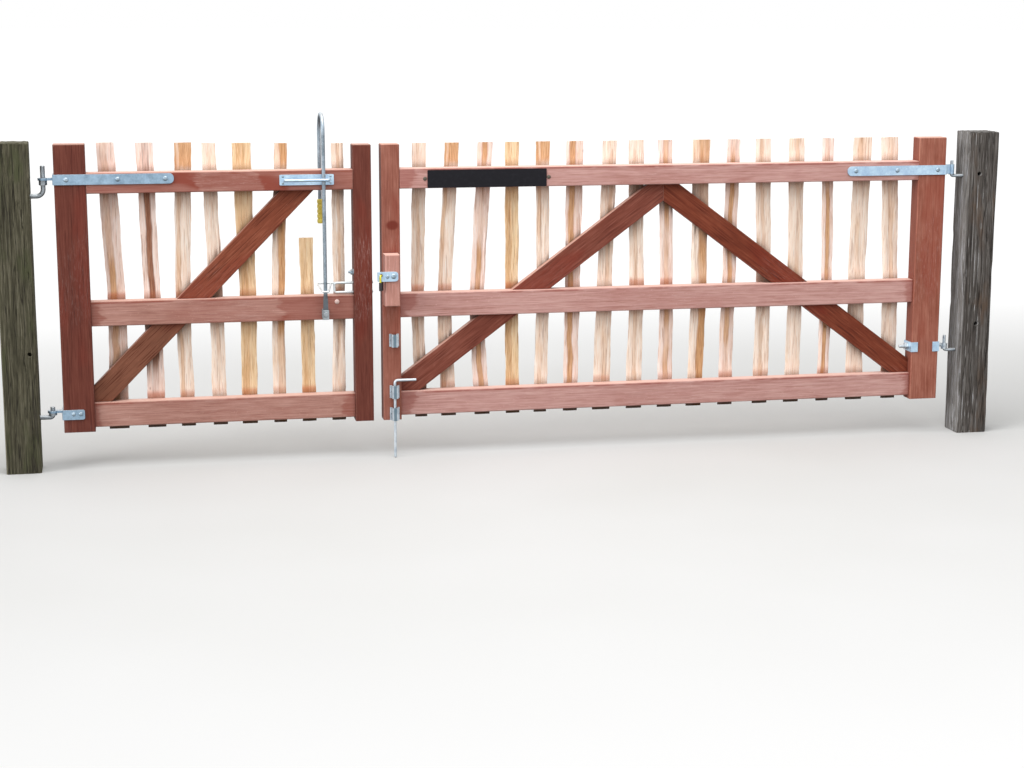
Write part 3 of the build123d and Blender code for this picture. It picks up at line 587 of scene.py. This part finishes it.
def galvanised(name, dark, light, under, shaded_below=None, hollow=None):
    """Zinc-coated steel: soft clouds, with painted highlights along the edges and on upward faces, and
    painted shade on its undersides and where pieces meet.

    Below a given height it is darkened by painted shade. A hollow, its middle and half width, is darkened
    by painted shade.
    """
    paint = Finish(name)
    clouds = paint.noise(paint.place, 24.0, 3.0, 0.6)
    mottle = paint.noise(paint.place, 140.0)
    level = paint.plus(mottle, 0.3, paint.times(clouds, 0.7))
    paint.colour = paint.ramp(level, (0.35, dark), (0.65, light))
    worn, soft = paint.edges(0.0016)
    # Painted highlight along the edges
    paint.coat(worn, ZINC_EDGE_HIGHLIGHT, 0.6)
    upward = paint.facing("Z")
    # Painted highlight on upward faces
    paint.coat(paint.between(upward, 0.3, 0.9), ZINC_TOP_HIGHLIGHT, 0.6)
    # Painted shade below a height
    if shaded_below is not None:
        height = paint.plus(mottle, 0.01, paint.part_of(paint.place, "Z"))
        paint.coat(paint.fading(height, shaded_below, shaded_below + 0.02), ZINC_LOW_SHADE, 0.85)
    # Painted shade in a hollow
    if hollow is not None:
        middle, half_width = hollow
        aside = paint.size_of(paint.less(paint.part_of(paint.place, "X"), middle))
        paint.coat(paint.fading(aside, half_width - 0.001, half_width + 0.001), ZINC_HOLLOW_SHADE, 0.8)
    # Painted shade on downward faces
    below = paint.between(paint.times(upward, -1.0), 0.05, 0.85)
    paint.coat(paint.times(below, paint.scaled(clouds, 0.6, 1.0)), under)
    # Painted shade where pieces meet
    paint.coat(paint.corners(0.007), under)
    fine = paint.noise(paint.place, 900.0, 2.0, 0.6)
    normal = paint.bump(fine, 0.0001, 0.4, soft)
    return paint.finish(paint.scaled(clouds, 0.36, 0.5), normal, Metallic=0.6)


def painted(name, base, scuffed, roughness, relief, **inputs):
    """A plain coat or moulding with dusty clouds, scuffed edges and painted shade where pieces meet."""
    paint = Finish(name)
    paint.colour = base
    clouds = paint.noise(paint.place, 60.0, 4.0, 0.6)
    worn, soft = paint.edges(0.0012)
    paint.coat(paint.between(clouds, 0.45, 0.75), scuffed, 0.3)
    paint.coat(worn, scuffed, 0.55)
    # Painted shade where pieces meet
    paint.coat(paint.corners(0.008), paint.mix(1.0, scuffed, PAINT_CORNER_SHADE, "MULTIPLY"))
    rough = paint.scaled(clouds, roughness - 0.08, roughness + 0.12)
    fine = paint.noise(paint.place, 1400.0, 2.0, 0.6)
    return paint.finish(rough, paint.bump(fine, relief, 0.6, soft), **inputs)


def pale_floor():
    """The studio floor, lost in the white of the backdrop far from the gate."""
    paint = Finish("pale_floor")
    clouds = paint.noise(paint.place, 0.7)
    tones = paint.ramp(clouds, (0.3, FLOOR_TONES[0]), (0.7, FLOOR_TONES[1]))
    away = paint.vector("SUBTRACT", paint.place, FLOOR_MIDDLE)
    away = paint.vector("LENGTH", paint.stretched(away, (0.4, 1.0, 1.0)))
    viewed = direct_rays(paint.tree)
    faded = paint.times(paint.between(away, FADE_FROM, FADE_TO), viewed)
    paint.colour = paint.mix(viewed, FLOOR_BOUNCE, tones)
    paint.coat(faded, BLACK)
    normal = paint.bump(paint.noise(paint.place, 220.0, 2.0, 0.6), 0.0004, 0.2)
    return paint.finish(0.9, normal, **{"Emission Color": WHITE, "Emission Strength": faded})


def dress(name, material):
    """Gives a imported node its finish."""
    mesh = nodes[name].data
    mesh.materials.clear()
    mesh.materials.append(material)


def in_scene(thing):
    bpy.context.scene.collection.objects.link(thing)
    return thing


def made_of(name, maker, material):
    """A new object in the scene from a bmesh."""
    mesh = bpy.data.meshes.new(name)
    maker.to_mesh(mesh)
    maker.free()
    mesh.materials.append(material)
    return in_scene(bpy.data.objects.new(name, mesh))


def new_piece(name, maker, material, body):
    """A piece from a bmesh, riding on a body."""
    maker.normal_update()
    piece = made_of(name, maker, material)
    piece.data.shade_smooth()
    piece.data.set_sharp_from_angle(angle=math.radians(SHARP_ANGLE))
    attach(piece, body)
    return piece


def middle_of(name):
    low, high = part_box(name)
    return (low + high) / 2


def front_of(name):
    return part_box(name)[0].y


def rear_of(name):
    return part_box(name)[1].y


def lathe(maker, profile, sides, origin, direction):
    """A turned form: the profile's radii and heights, set on origin along direction."""
    turn = Vector(direction).to_track_quat("Z", "Y").to_matrix()
    rows = []
    for radius, height in profile:
        if radius == 0.0:
            rows.append([maker.verts.new(Vector(origin) + turn @ Vector((0, 0, height)))])
            continue
        row = []
        for step in range(sides):
            angle = math.tau * (step + 0.5) / sides
            spot = Vector((radius * math.cos(angle), radius * math.sin(angle), height))
            row.append(maker.verts.new(Vector(origin) + turn @ spot))
        rows.append(row)
    for upper, lower in zip(rows, rows[1:]):
        for step in range(sides):
            after = (step + 1) % sides
            corners = [upper[step % len(upper)], lower[step % len(lower)]]
            if len(lower) > 1:
                corners.append(lower[after])
            if len(upper) > 1:
                corners.append(upper[after])
            maker.faces.new(corners)


def coach_head(maker, origin, direction, radius):
    """The low dome of a coach bolt."""
    height = radius * 0.6
    profile = [(0.0, height)]
    for step in range(1, HEAD_STEPS + 1):
        angle = math.pi / 2 * step / HEAD_STEPS
        profile.append((radius * math.sin(angle), height * math.cos(angle) ** 0.9))
    profile.append((radius * 0.98, -0.0008))
    lathe(maker, profile, HEAD_SIDES, origin, direction)


def screw_head(maker, origin, direction, radius):
    """A pan head with a cross recess suggested by a sunk middle."""
    shares = ((0.0, 0.32), (0.22, 0.34), (0.4, 0.62), (0.7, 0.56), (0.95, 0.3))
    profile = [(radius * across, radius * up) for across, up in shares]
    profile.append((radius, -0.0004))
    lathe(maker, profile, ROUND_SIDES, origin, direction)


def bolt_end(maker, origin, direction, nut_radius, nut_height, bolt_radius, reach):
    """A washer, a nut and the threaded end of the bolt that they hold."""
    washer_radius = nut_radius * 1.28
    washer = [
        (bolt_radius, WASHER_DEPTH),
        (washer_radius - 0.0006, WASHER_DEPTH),
        (washer_radius, WASHER_DEPTH * 0.6),
        (washer_radius, -0.0005),
    ]
    lathe(maker, washer, WASHER_SIDES, origin, direction)
    top = WASHER_DEPTH + nut_height
    nut = [
        (bolt_radius, top),
        (nut_radius * 0.88, top),
        (nut_radius, top - 0.0014),
        (nut_radius, WASHER_DEPTH + 0.0006),
        (nut_radius * 0.96, WASHER_DEPTH),
    ]
    lathe(maker, nut, NUT_SIDES, origin, direction)
    tip = top + reach
    thread = [(0.0, tip), (bolt_radius - CHAMFER, tip), (bolt_radius, tip - CHAMFER)]
    for turn in range(int((reach - CHAMFER) / THREAD_STEP)):
        depth = tip - CHAMFER - (turn + 0.5) * THREAD_STEP
        thread.append((bolt_radius - (THREAD_DEPTH if turn % 2 == 0 else 0.0), depth))
    thread.append((bolt_radius, top - 0.001))
    lathe(maker, thread, ROUND_SIDES, origin, direction)


def wave(shift, x, y, z):
    """Smooth noise from -1 to 1, the same at each run."""
    return noise.noise(shift + Vector((x, y, z)))


def islands(mesh):
    """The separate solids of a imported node, as lists of points from left to right."""
    parent = list(range(len(mesh.vertices)))
    spots = {}

    def root(index):
        while parent[index] != index:
            parent[index] = parent[parent[index]]
            index = parent[index]
        return index

    for vertex in mesh.vertices:
        key = tuple(round(part, 6) for part in vertex.co)
        parent[root(vertex.index)] = root(spots.setdefault(key, vertex.index))
    for edge in mesh.edges:
        parent[root(edge.vertices[0])] = root(edge.vertices[1])
    groups = {}
    for vertex in mesh.vertices:
        groups.setdefault(root(vertex.index), []).append(vertex.co.copy())
    return sorted(groups.values(), key=lambda points: sum(p.x for p in points) / len(points))


def pale_sections(points, front):
    """Height, left edge, right edge and ridge of a pale, at its foot, middle and head."""
    face = [point for point in points if point.y < front + 0.0002]
    sections = []
    for height in sorted({round(point.z, 3) for point in face}):
        edge = [point.x for point in face if abs(point.z - height) < 0.001]
        level = [point for point in points if abs(point.z - height) < 0.001]
        ridge = max(level, key=lambda point: point.y).x
        sections.append((height, min(edge), max(edge), ridge))
    return sections


def along(sections, height):
    """The pale's edges and ridge at a height between its sections."""
    for low, high in zip(sections, sections[1:]):
        if height <= high[0] + SAME_PLACE:
            share = (height - low[0]) / (high[0] - low[0])
            share = min(max(share, 0.0), 1.0)
            return [low[k] + (high[k] - low[k]) * share for k in (1, 2, 3)]
    return list(sections[-1][1:])


def hewn(seed, sections, height):
    """The pale's edges and ridge at a height, as the axe left them."""
    left, right, ridge = along(sections, height)
    left += 0.0042 * wave(seed, 0.0, 0.0, height * 7.0)
    left += 0.0016 * wave(seed, 0.0, 5.0, height * 31.0)
    right += 0.0042 * wave(seed, 9.0, 0.0, height * 7.0)
    right += 0.0016 * wave(seed, 9.0, 5.0, height * 31.0)
    ridge += 0.006 * wave(seed, 4.0, 0.0, height * 5.0)
    return left, right, ridge


def front_points(seed, height, left, right, front, free):
    """Points across the face of a pale, hollowed as far as it is free of the rails."""
    width = right - left
    row = []
    for step in range(FRONT_POINTS):
        share = step / (FRONT_POINTS - 1)
        broad = wave(seed, share * width * 55.0, 20.0, height * 3.2)
        rough = wave(seed, share * width * 170.0, 40.0, height * 9.0)
        hollow = 0.0075 * abs(broad) + 0.0018 * abs(rough)
        edge = 0.0022 * (2.0 * abs(share - 0.5)) ** 6
        row.append((left + share * width, front + hollow * free + edge))
    return row


def back_points(seed, height, left, right, ridge, front, back):
    """Points up the right side of a pale, over its broken ridge and down the left side."""
    width = right - left
    depth = back - front
    high = back - RIDGE_DROP + 0.0022 * wave(seed, 2.0, 60.0, height * 6.0)
    row = [(left + (1.0 - share) * width, front + depth * reach) for share, reach in PALE_SIDE]
    row.append((right * 0.4 + ridge * 0.6, front + (high - front) * 0.9))
    row.append((ridge, high))
    row.append((left * 0.4 + ridge * 0.6, front + (high - front) * 0.88))
    row += [(left + share * width, front + depth * reach) for share, reach in reversed(PALE_SIDE)]
    return row


def close_rings(maker, rows):
    """Faces between rings of points, and over the first and the last ring."""
    for lower, upper in zip(rows, rows[1:]):
        for step in range(len(lower)):
            after = (step + 1) % len(lower)
            maker.faces.new((lower[step], lower[after], upper[after], upper[step]))
    maker.faces.new(list(reversed(rows[0])))
    maker.faces.new(rows[-1])


def pale(name, points, material, body, rail_bands):
    """One cleft pale: hewn edges that wander, a hollowed face and a broken ridge."""
    front = min(point.y for point in points)
    back = max(point.y for point in points)
    sections = pale_sections(points, front)
    foot = sections[0][0]
    head = sections[-1][0]
    seed = Vector((sections[0][1] * 7.7, 3.1, 0.0))
    maker = bmesh.new()
    across = maker.verts.layers.float.new("across")
    rows = []
    rings = int((head - foot) / RING_HEIGHT)
    for ring in range(rings + 1):
        height = foot + (head - foot) * ring / rings
        left, right, ridge = hewn(seed, sections, height)
        bound = max(math.exp(-(((height - middle) / BEHIND_RAIL) ** 2)) for middle in rail_bands)
        row = front_points(seed, height, left, right, front, 1.0 - bound)
        row += back_points(seed, height, left, right, ridge, front, back)
        verts = [maker.verts.new((x, y, height)) for x, y in row]
        for vertex in verts:
            vertex[across] = (vertex.co.x - left) / (right - left)
        rows.append(verts)
    tilt = 0.004 * wave(seed, 0.0, 80.0, 0.0)
    for vertex in rows[-1]:
        vertex.co.z -= 0.002 + tilt * vertex[across]
    close_rings(maker, rows)
    return new_piece(name, maker, material, body)


def pale_row(node, finishes, kinds, body, rail_bands):
    """Every pale of a leaf, each its own piece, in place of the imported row."""
    for index, points in enumerate(islands(nodes[node].data)):
        name = f"{node}_{index + 1:02d}"
        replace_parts(pale(name, points, finishes[kinds[index]], body, rail_bands), node)


def remeshed(node):
    """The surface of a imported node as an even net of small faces."""
    source = nodes[node].copy()
    source.data = nodes[node].data.copy()
    source.parent = None
    in_scene(source)
    weld = source.modifiers.new("weld", "WELD")
    weld.merge_threshold = 0.0001
    cut = source.modifiers.new("cut", "REMESH")
    cut.mode = "VOXEL"
    cut.voxel_size = POST_NET
    found = source.evaluated_get(bpy.context.evaluated_depsgraph_get())
    maker = bmesh.new()
    maker.from_mesh(found.to_mesh())
    found.to_mesh_clear()
    bpy.data.objects.remove(source)
    return maker


def weather(shift, spot, corner):
    """Slow noise and grain at a spot of a post, and how deep it has worn."""
    slow = wave(shift, spot.x * 9.0, spot.y * 9.0, spot.z * 2.6)
    grain = wave(shift, spot.x * 75.0, spot.y * 75.0, spot.z * 3.6)
    check = wave(shift, spot.x * 34.0, 7.0 + spot.y * 34.0, spot.z * 1.3)
    worn = 0.0016 + 0.0022 * (0.5 + slow) + 0.0011 * (0.5 + grain)
    worn += 0.0045 * max(0.0, 1.0 - abs(check) / 0.07)
    worn += 0.006 * (0.6 + slow) * max(0.0, (corner - 0.82) / 0.18) ** 1.5
    return slow, grain, worn


def weathered_post(node, material, seed):
    """A post worn back from its packed outline, with softened arrises and open checks."""
    maker = remeshed(node)
    low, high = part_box(node)
    centre = (low + high) / 2
    half = (high.x - low.x) / 2
    shift = Vector((seed, seed * 1.7, 0.0))
    for vertex in maker.verts:
        spot = vertex.co
        offset = Vector((spot.x - centre.x, spot.y - centre.y, 0.0))
        corner = min(abs(offset.x), abs(offset.y)) / half
        slow, grain, worn = weather(shift, spot, corner)
        on_top = spot.z > high.z - POST_SKIN
        inside = max(abs(offset.x), abs(offset.y)) < half - POST_SKIN
        if inside or offset.length < SAME_PLACE:
            if on_top:
                spot.z -= 0.0012 + 0.0024 * (0.5 + grain)
            continue
        spot -= offset.normalized() * worn
        if on_top:
            spot.z -= 0.0015 + 0.003 * (0.5 + slow)
    piece = new_piece(node + "_weathered", maker, material, "posts")
    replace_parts(piece, node)


def brace_turn(node, start_high):
    """The turn of a brace's grain, from the slope of its long edges."""
    low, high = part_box(node)
    slope = math.atan2(high.z - low.z, high.x - low.x)
    lean = slope if start_high else -slope
    return (0.0, math.pi / 2 - lean, 0.0)


def make_framing():
    """Stained finishes for stiles, rails and block, one for each."""
    narrow_stile = (tone(82, 34, 26), tone(111, 58, 47), tone(138, 82, 68))
    wide_stile = (tone(122, 60, 44), tone(157, 98, 83), tone(188, 130, 112))
    hanging_stile = (tone(128, 64, 46), tone(166, 103, 86), tone(196, 138, 118))
    narrow_rail = (tone(138, 84, 70), tone(186, 138, 126), tone(214, 172, 160))
    wide_rail = (tone(158, 100, 88), tone(203, 156, 149), tone(228, 190, 183))
    block = (tone(170, 114, 100), tone(205, 150, 138), tone(230, 186, 176))
    plan = [
        ("narrow_hanging_stile", UPRIGHT, narrow_stile, (0.5, 0.2, 0.3, 0.25), (0.012, 0.09)),
        ("narrow_shutting_stile", UPRIGHT, narrow_stile, (0.4, 0.3, 0.4, 0.6), (-0.02, 0.07)),
        ("narrow_top_rail", ALONG, narrow_rail, (0.15, 0.3, 0.6, 0.3), (0.02, 0.06)),
        ("narrow_mid_rail", ALONG, narrow_rail, (0.15, 0.3, 0.3, 0.35), (-0.01, 0.05)),
        ("narrow_bottom_rail", ALONG, narrow_rail, (0.15, 0.3, 0.15, 0.35), (0.03, 0.07)),
        ("wide_shutting_stile", UPRIGHT, wide_stile, (0.3, 0.5, 0.5, 0.3), (0.01, 0.08)),
        ("wide_hanging_stile", UPRIGHT, hanging_stile, (0.25, 0.5, 0.5, 0.35), (-0.03, 0.09)),
        ("wide_top_rail", ALONG, wide_rail, (0.12, 0.3, 0.25, 0.35), (-0.02, 0.07)),
        ("wide_mid_rail", ALONG, wide_rail, (0.12, 0.3, 0.25, 0.35), (0.02, 0.06)),
        ("wide_bottom_rail", ALONG, wide_rail, (0.12, 0.3, 0.2, 0.35), (-0.01, 0.08)),
        ("strike_block", UPRIGHT, block, (0.15, 0.3, 0.1, 0.3), (0.02, 0.08)),
    ]
    red_reaches = {"narrow_top_rail": (0.43, 0.39), "narrow_mid_rail": (0.05, 0.3)}
    stile_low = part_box("wide_shutting_stile")[0]
    knot_place = (stile_low.x + KNOT_INSET, stile_low.y, KNOT_HEIGHT)
    knots = {"wide_shutting_stile": (knot_place, KNOT_HALF_HEIGHT)}
    for name, turn, tones, look, (aside, behind) in plan:
        rail = None
        if turn == ALONG:
            pith = middle_of(name) + Vector((0.0, behind, aside))
            rail = (*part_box(name), *red_reaches.get(name, (0.03, 0.03)))
        else:
            pith = middle_of(name) + Vector((aside, behind, 0.0))
        finish = stained_wood(name + "_finish", pith, turn, tones, look, rail=rail, knot=knots.get(name))
        dress(name, finish)


def make_braces():
    """Stained finishes for the three braces. The narrow one has browned below the mid rail."""
    orange = (tone(96, 40, 22), tone(142, 76, 54), tone(176, 110, 86))
    red = (tone(88, 32, 18), tone(124, 58, 38), tone(160, 92, 68))
    brown = (tone(92, 40, 28), tone(130, 70, 56), tone(166, 106, 90))
    for name, rising, tones, look, browned in (
        ("narrow_brace", True, orange, (0.8, 0.35, 0.4, 0.2), 0.7),
        ("wide_left_brace", True, brown, (0.6, 0.35, 0.5, 0.2), None),
        ("wide_right_brace", False, red, (0.8, 0.35, 0.5, 0.3), None),
    ):
        pith = middle_of(name) + Vector((0.0, 0.05, 0.02))
        finish = stained_wood(name + "_finish", pith, brace_turn(name, rising), tones, look, browned)
        dress(name, finish)


def make_pales():
    """Both rows of pales, in six kinds of cleft wood."""
    rail_bands = []
    rail_lines = [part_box("wide_bottom_rail")[0].z]
    for rail in ("narrow_bottom_rail", "narrow_mid_rail", "narrow_top_rail"):
        low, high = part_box(rail)
        rail_bands += [low.z + 0.02, (low.z + high.z) / 2, high.z - 0.02]
        rail_lines.append(high.z)
    cream = (tone(232, 198, 172), tone(255, 235, 218), tone(255, 248, 240))
    pink = (tone(230, 190, 170), tone(255, 230, 218), tone(255, 246, 241))
    straw = (tone(214, 170, 122), tone(246, 214, 172), tone(254, 236, 206))
    ochre = (tone(160, 98, 52), tone(212, 156, 100), tone(238, 196, 148))
    umber = (tone(108, 56, 36), tone(150, 96, 68), tone(200, 152, 120))
    kinds = {
        "c": ("cleft_cream", cream, ochre, (0.5, 0.12, 0.4, 0.0)),
        "p": ("cleft_pink", pink, umber, (0.55, 0.17, 0.95, 0.0)),
        "r": ("cleft_rose", pink, ochre, (0.4, 0.17, 0.85, 0.0)),
        "s": ("cleft_straw", straw, ochre, (0.3, 0.2, 0.5, 0.0)),
        "o": ("cleft_ochre", cream, ochre, (0.75, 0.27, 0.9, 0.3)),
        "h": ("cleft_headed", cream, ochre, (0.3, 0.12, 0.5, 0.85)),
    }
    finishes = {letter: cleft_wood(*kind, rail_lines) for letter, kind in kinds.items()}
    pale_row("narrow_pales", finishes, "rphcsosc", "narrow_leaf", rail_bands)
    pale_row("wide_pales", finishes, "chrshrccrorccrcc", "wide_leaf", rail_bands)


def make_posts():
    """Both posts. Their tones are dark, middle, light, the patches and the painted light of the left-facing
    side.
    """
    left = ((48, 45, 34), (84, 81, 65), (122, 118, 100), (80, 84, 58), (150, 144, 124))
    right = ((54, 49, 46), (92, 87, 83), (134, 131, 128), (98, 80, 66), (194, 196, 202))
    for side, tones, seed in (("left", left, 3.0), ("right", right, 11.0)):
        oak = old_oak(side + "_oak", *(tone(*parts) for parts in tones))
        weathered_post(side + "_post", oak, seed)


def make_ironwork():
    """Zinc finishes for the ironwork, each with the nodes that it dresses."""
    # The third tone of each zinc is its painted shade on undersides and where pieces meet
    shade_grey = tone(48, 54, 60)
    # The drop bolt guides' hollow, darkened by painted shade
    hollow = (middle_of("drop_bolt_guides").x, DROP_GUIDE_SHADED_HOLLOW)
    aged = galvanised("zinc", tone(134, 160, 182), tone(168, 196, 218), tone(60, 72, 82))
    clean = galvanised("clean_zinc", tone(168, 198, 226), tone(206, 232, 250), tone(64, 76, 88))
    dull = galvanised("dull_zinc", tone(112, 126, 136), tone(170, 184, 196), shade_grey, LEVER_SHADED_BELOW)
    plain = galvanised("plain_zinc", tone(138, 146, 152), tone(186, 194, 200), shade_grey)
    fresh = galvanised("fresh_zinc", tone(208, 218, 222), tone(242, 246, 247), tone(64, 70, 76))
    bright = galvanised("bright_zinc", tone(176, 190, 202), tone(226, 234, 240), tone(44, 52, 60))
    dark = tone(34, 42, 48)
    pressed = galvanised("pressed_zinc", tone(160, 174, 186), tone(206, 216, 224), dark, hollow=hollow)
    for material, names in (
        (aged, ("narrow_top_strap", "narrow_bottom_strap")),
        (clean, ("wide_top_strap", "wide_eye_saddles", "lever_guide", "keeper_plate")),
        (pressed, ("drop_bolt_guides",)),
        (dull, ("latch_lever",)),
        # The left hooks take the plain zinc's darker tones as painted shade
        (plain, ("lever_bracket", "left_top_hook", "left_bottom_hook")),
        (bright, ("right_top_hook", "right_bottom_hook", "wide_eye_bolt", "wide_eye_nut", "drop_bolt")),
        (fresh, ("draw_bolt", "bolt_stirrup")),
    ):
        for name in names:
            dress(name, material)


def make_small_things():
    """The sign, the lever's grip and the padlock."""
    black = painted("black_coat", tone(16, 15, 22), tone(42, 42, 48), 0.45, 0.0001, **DULL)
    dress("sign_plate", black)
    yellow = painted("yellow_grip_coat", tone(255, 238, 112), tone(206, 184, 88), 0.42, 0.0002)
    dress("lever_grip", yellow)
    lemon = painted("yellow_shackle_coat", tone(238, 226, 70), tone(190, 176, 80), 0.35, 0.0001)
    dress("padlock_shackle", lemon)
    dark = painted("padlock_coat", tone(30, 28, 32), tone(90, 88, 90), 0.4, 0.0002)
    dress("padlock_body", dark)


def stand_heads(maker, rows):
    """Rows of bolt heads, each on the front of its node."""
    for node, places, height, radius in rows:
        for x in places:
            coach_head(maker, (x, front_of(node), height), FRONT, radius)


def stand_screws(maker, plate, heights, inset, thickness, radius):
    """Screws at both ends of a plate on the framing, at each height."""
    low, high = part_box(plate)
    front = front_of("narrow_hanging_stile") - thickness
    for z in heights:
        for x in (low.x + inset, high.x - inset):
            screw_head(maker, (x, front, z), FRONT, radius)


def make_narrow_leaf_bolts(zinc):
    """Heads and nut of its two straps, the guide's screws and the bolt end in the shutting stile."""
    maker = bmesh.new()
    stand_heads(maker, NARROW_HEADS)
    strap, places, height, _ = NARROW_HEADS[0]
    bolt_end(maker, (places[0], rear_of(strap), height), REAR, *STRAP_BOLT_END)
    middle = middle_of("lever_guide").z
    inset = LEVER_GUIDE_SCREWS[0]
    stand_screws(maker, "lever_guide", (middle - inset, middle + inset), *LEVER_GUIDE_SCREWS)
    stile_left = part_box("narrow_shutting_stile")[0].x
    bolt_end(maker, (stile_left, *STILE_BOLT_PLACE), LEFT, *STILE_BOLT_END)
    new_piece("narrow_leaf_bolts", maker, zinc, "narrow_leaf")


def make_wide_leaf_bolts(zinc):
    """Heads and nut of its strap, the keeper's heads and the screws of the drop bolt's guides."""
    maker = bmesh.new()
    stand_heads(maker, WIDE_HEADS)
    strap, places, height, _ = WIDE_HEADS[0]
    bolt_end(maker, (places[-1], rear_of(strap), height), REAR, *STRAP_BOLT_END)
    stand_screws(maker, "drop_bolt_guides", DROP_GUIDE_HEIGHTS, *DROP_GUIDE_SCREWS)
    new_piece("wide_leaf_bolts", maker, zinc, "wide_leaf")


def make_sign_fixings():
    maker = bmesh.new()
    low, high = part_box("sign_plate")
    front = front_of("narrow_hanging_stile")
    for x in (low.x - SIGN_GAPS[0], high.x + SIGN_GAPS[1]):
        coach_head(maker, (x, front, SIGN_FIXING_HEIGHT), FRONT, SIGN_FIXING_RADIUS)
    bronze = painted("dull_bronze", tone(84, 78, 66), tone(140, 132, 118), 0.5, 0.0001)
    new_piece("sign_fixings", maker, bronze, "wide_leaf")


def make_stained_head():
    """The head in the narrow mid rail that was stained over."""
    maker = bmesh.new()
    stand_heads(maker, STAINED_HEADS)
    stain = painted("stained_head", tone(232, 204, 196), tone(246, 232, 228), 0.5, 0.0002)
    new_piece("mid_rail_bolt", maker, stain, "narrow_leaf")


def make_fasteners():
    """Bolt heads, nuts and screws, joined into one piece for each body and finish."""
    zinc = galvanised("bolt_zinc", tone(128, 150, 166), tone(182, 202, 216), tone(40, 50, 56))
    make_narrow_leaf_bolts(zinc)
    make_wide_leaf_bolts(zinc)
    make_sign_fixings()
    make_stained_head()


def make_floor():
    maker = bmesh.new()
    bmesh.ops.create_grid(maker, x_segments=FLOOR_PARTS, y_segments=FLOOR_PARTS, size=FLOOR_SIZE / 2)
    floor = made_of("studio_floor", maker, pale_floor())


def make_sky():
    """A pale sky all round, white where it is seen."""
    world = bpy.data.worlds.new("studio_sky")
    bpy.context.scene.world = world
    world.use_nodes = True
    tree = world.node_tree
    sky = tree.nodes["Background"]
    sky.inputs["Color"].default_value = WHITE
    level = tree.nodes.new("ShaderNodeMapRange")
    level.inputs["To Min"].default_value = SKY_LEVEL
    level.inputs["To Max"].default_value = 1.0
    tree.links.new(direct_rays(tree), level.inputs["Value"])
    tree.links.new(level.outputs["Result"], sky.inputs["Strength"])


def hang_lamp(data, place):
    """A lamp at a place, aimed at the gate."""
    lamp = in_scene(bpy.data.objects.new(data.name, data))
    lamp.location = place
    aim = Vector(LAMP_TARGET) - Vector(place)
    lamp.rotation_euler = aim.to_track_quat("-Z", "Y").to_euler()


def make_lamps():
    """One large soft lamp overhead and a softer one far to the left."""
    top = bpy.data.lights.new("top_lamp", "AREA")
    top.shape = "SQUARE"
    top.size = TOP_LAMP_SIZE
    top.energy = TOP_LAMP_POWER
    hang_lamp(top, TOP_LAMP_PLACE)
    left = bpy.data.lights.new("left_lamp", "SUN")
    left.angle = math.radians(LEFT_LAMP_SPREAD)
    left.energy = LEFT_LAMP_POWER
    hang_lamp(left, LEFT_LAMP_PLACE)


def make_camera():
    data = bpy.data.cameras.new("photo_camera")
    data.sensor_width = CAMERA_SENSOR
    data.lens = CAMERA_LENS
    data.clip_end = CAMERA_RANGE
    camera = in_scene(bpy.data.objects.new("photo_camera", data))
    turn = Matrix.Identity(3)
    for angle, axis in ((CAMERA_HEADING, "Z"), (CAMERA_PITCH, "X"), (CAMERA_ROLL, "Z")):
        turn = turn @ Matrix.Rotation(math.radians(angle), 3, axis)
    camera.rotation_euler = turn.to_euler()
    camera.location = CAMERA_PLACE
    bpy.context.scene.camera = camera


def main():
    bpy.context.scene.view_settings.view_transform = "Standard"
    make_camera()
    make_sky()
    make_lamps()
    make_floor()
    make_framing()
    make_braces()
    make_pales()
    make_posts()
    make_ironwork()
    make_small_things()
    make_fasteners()


main()
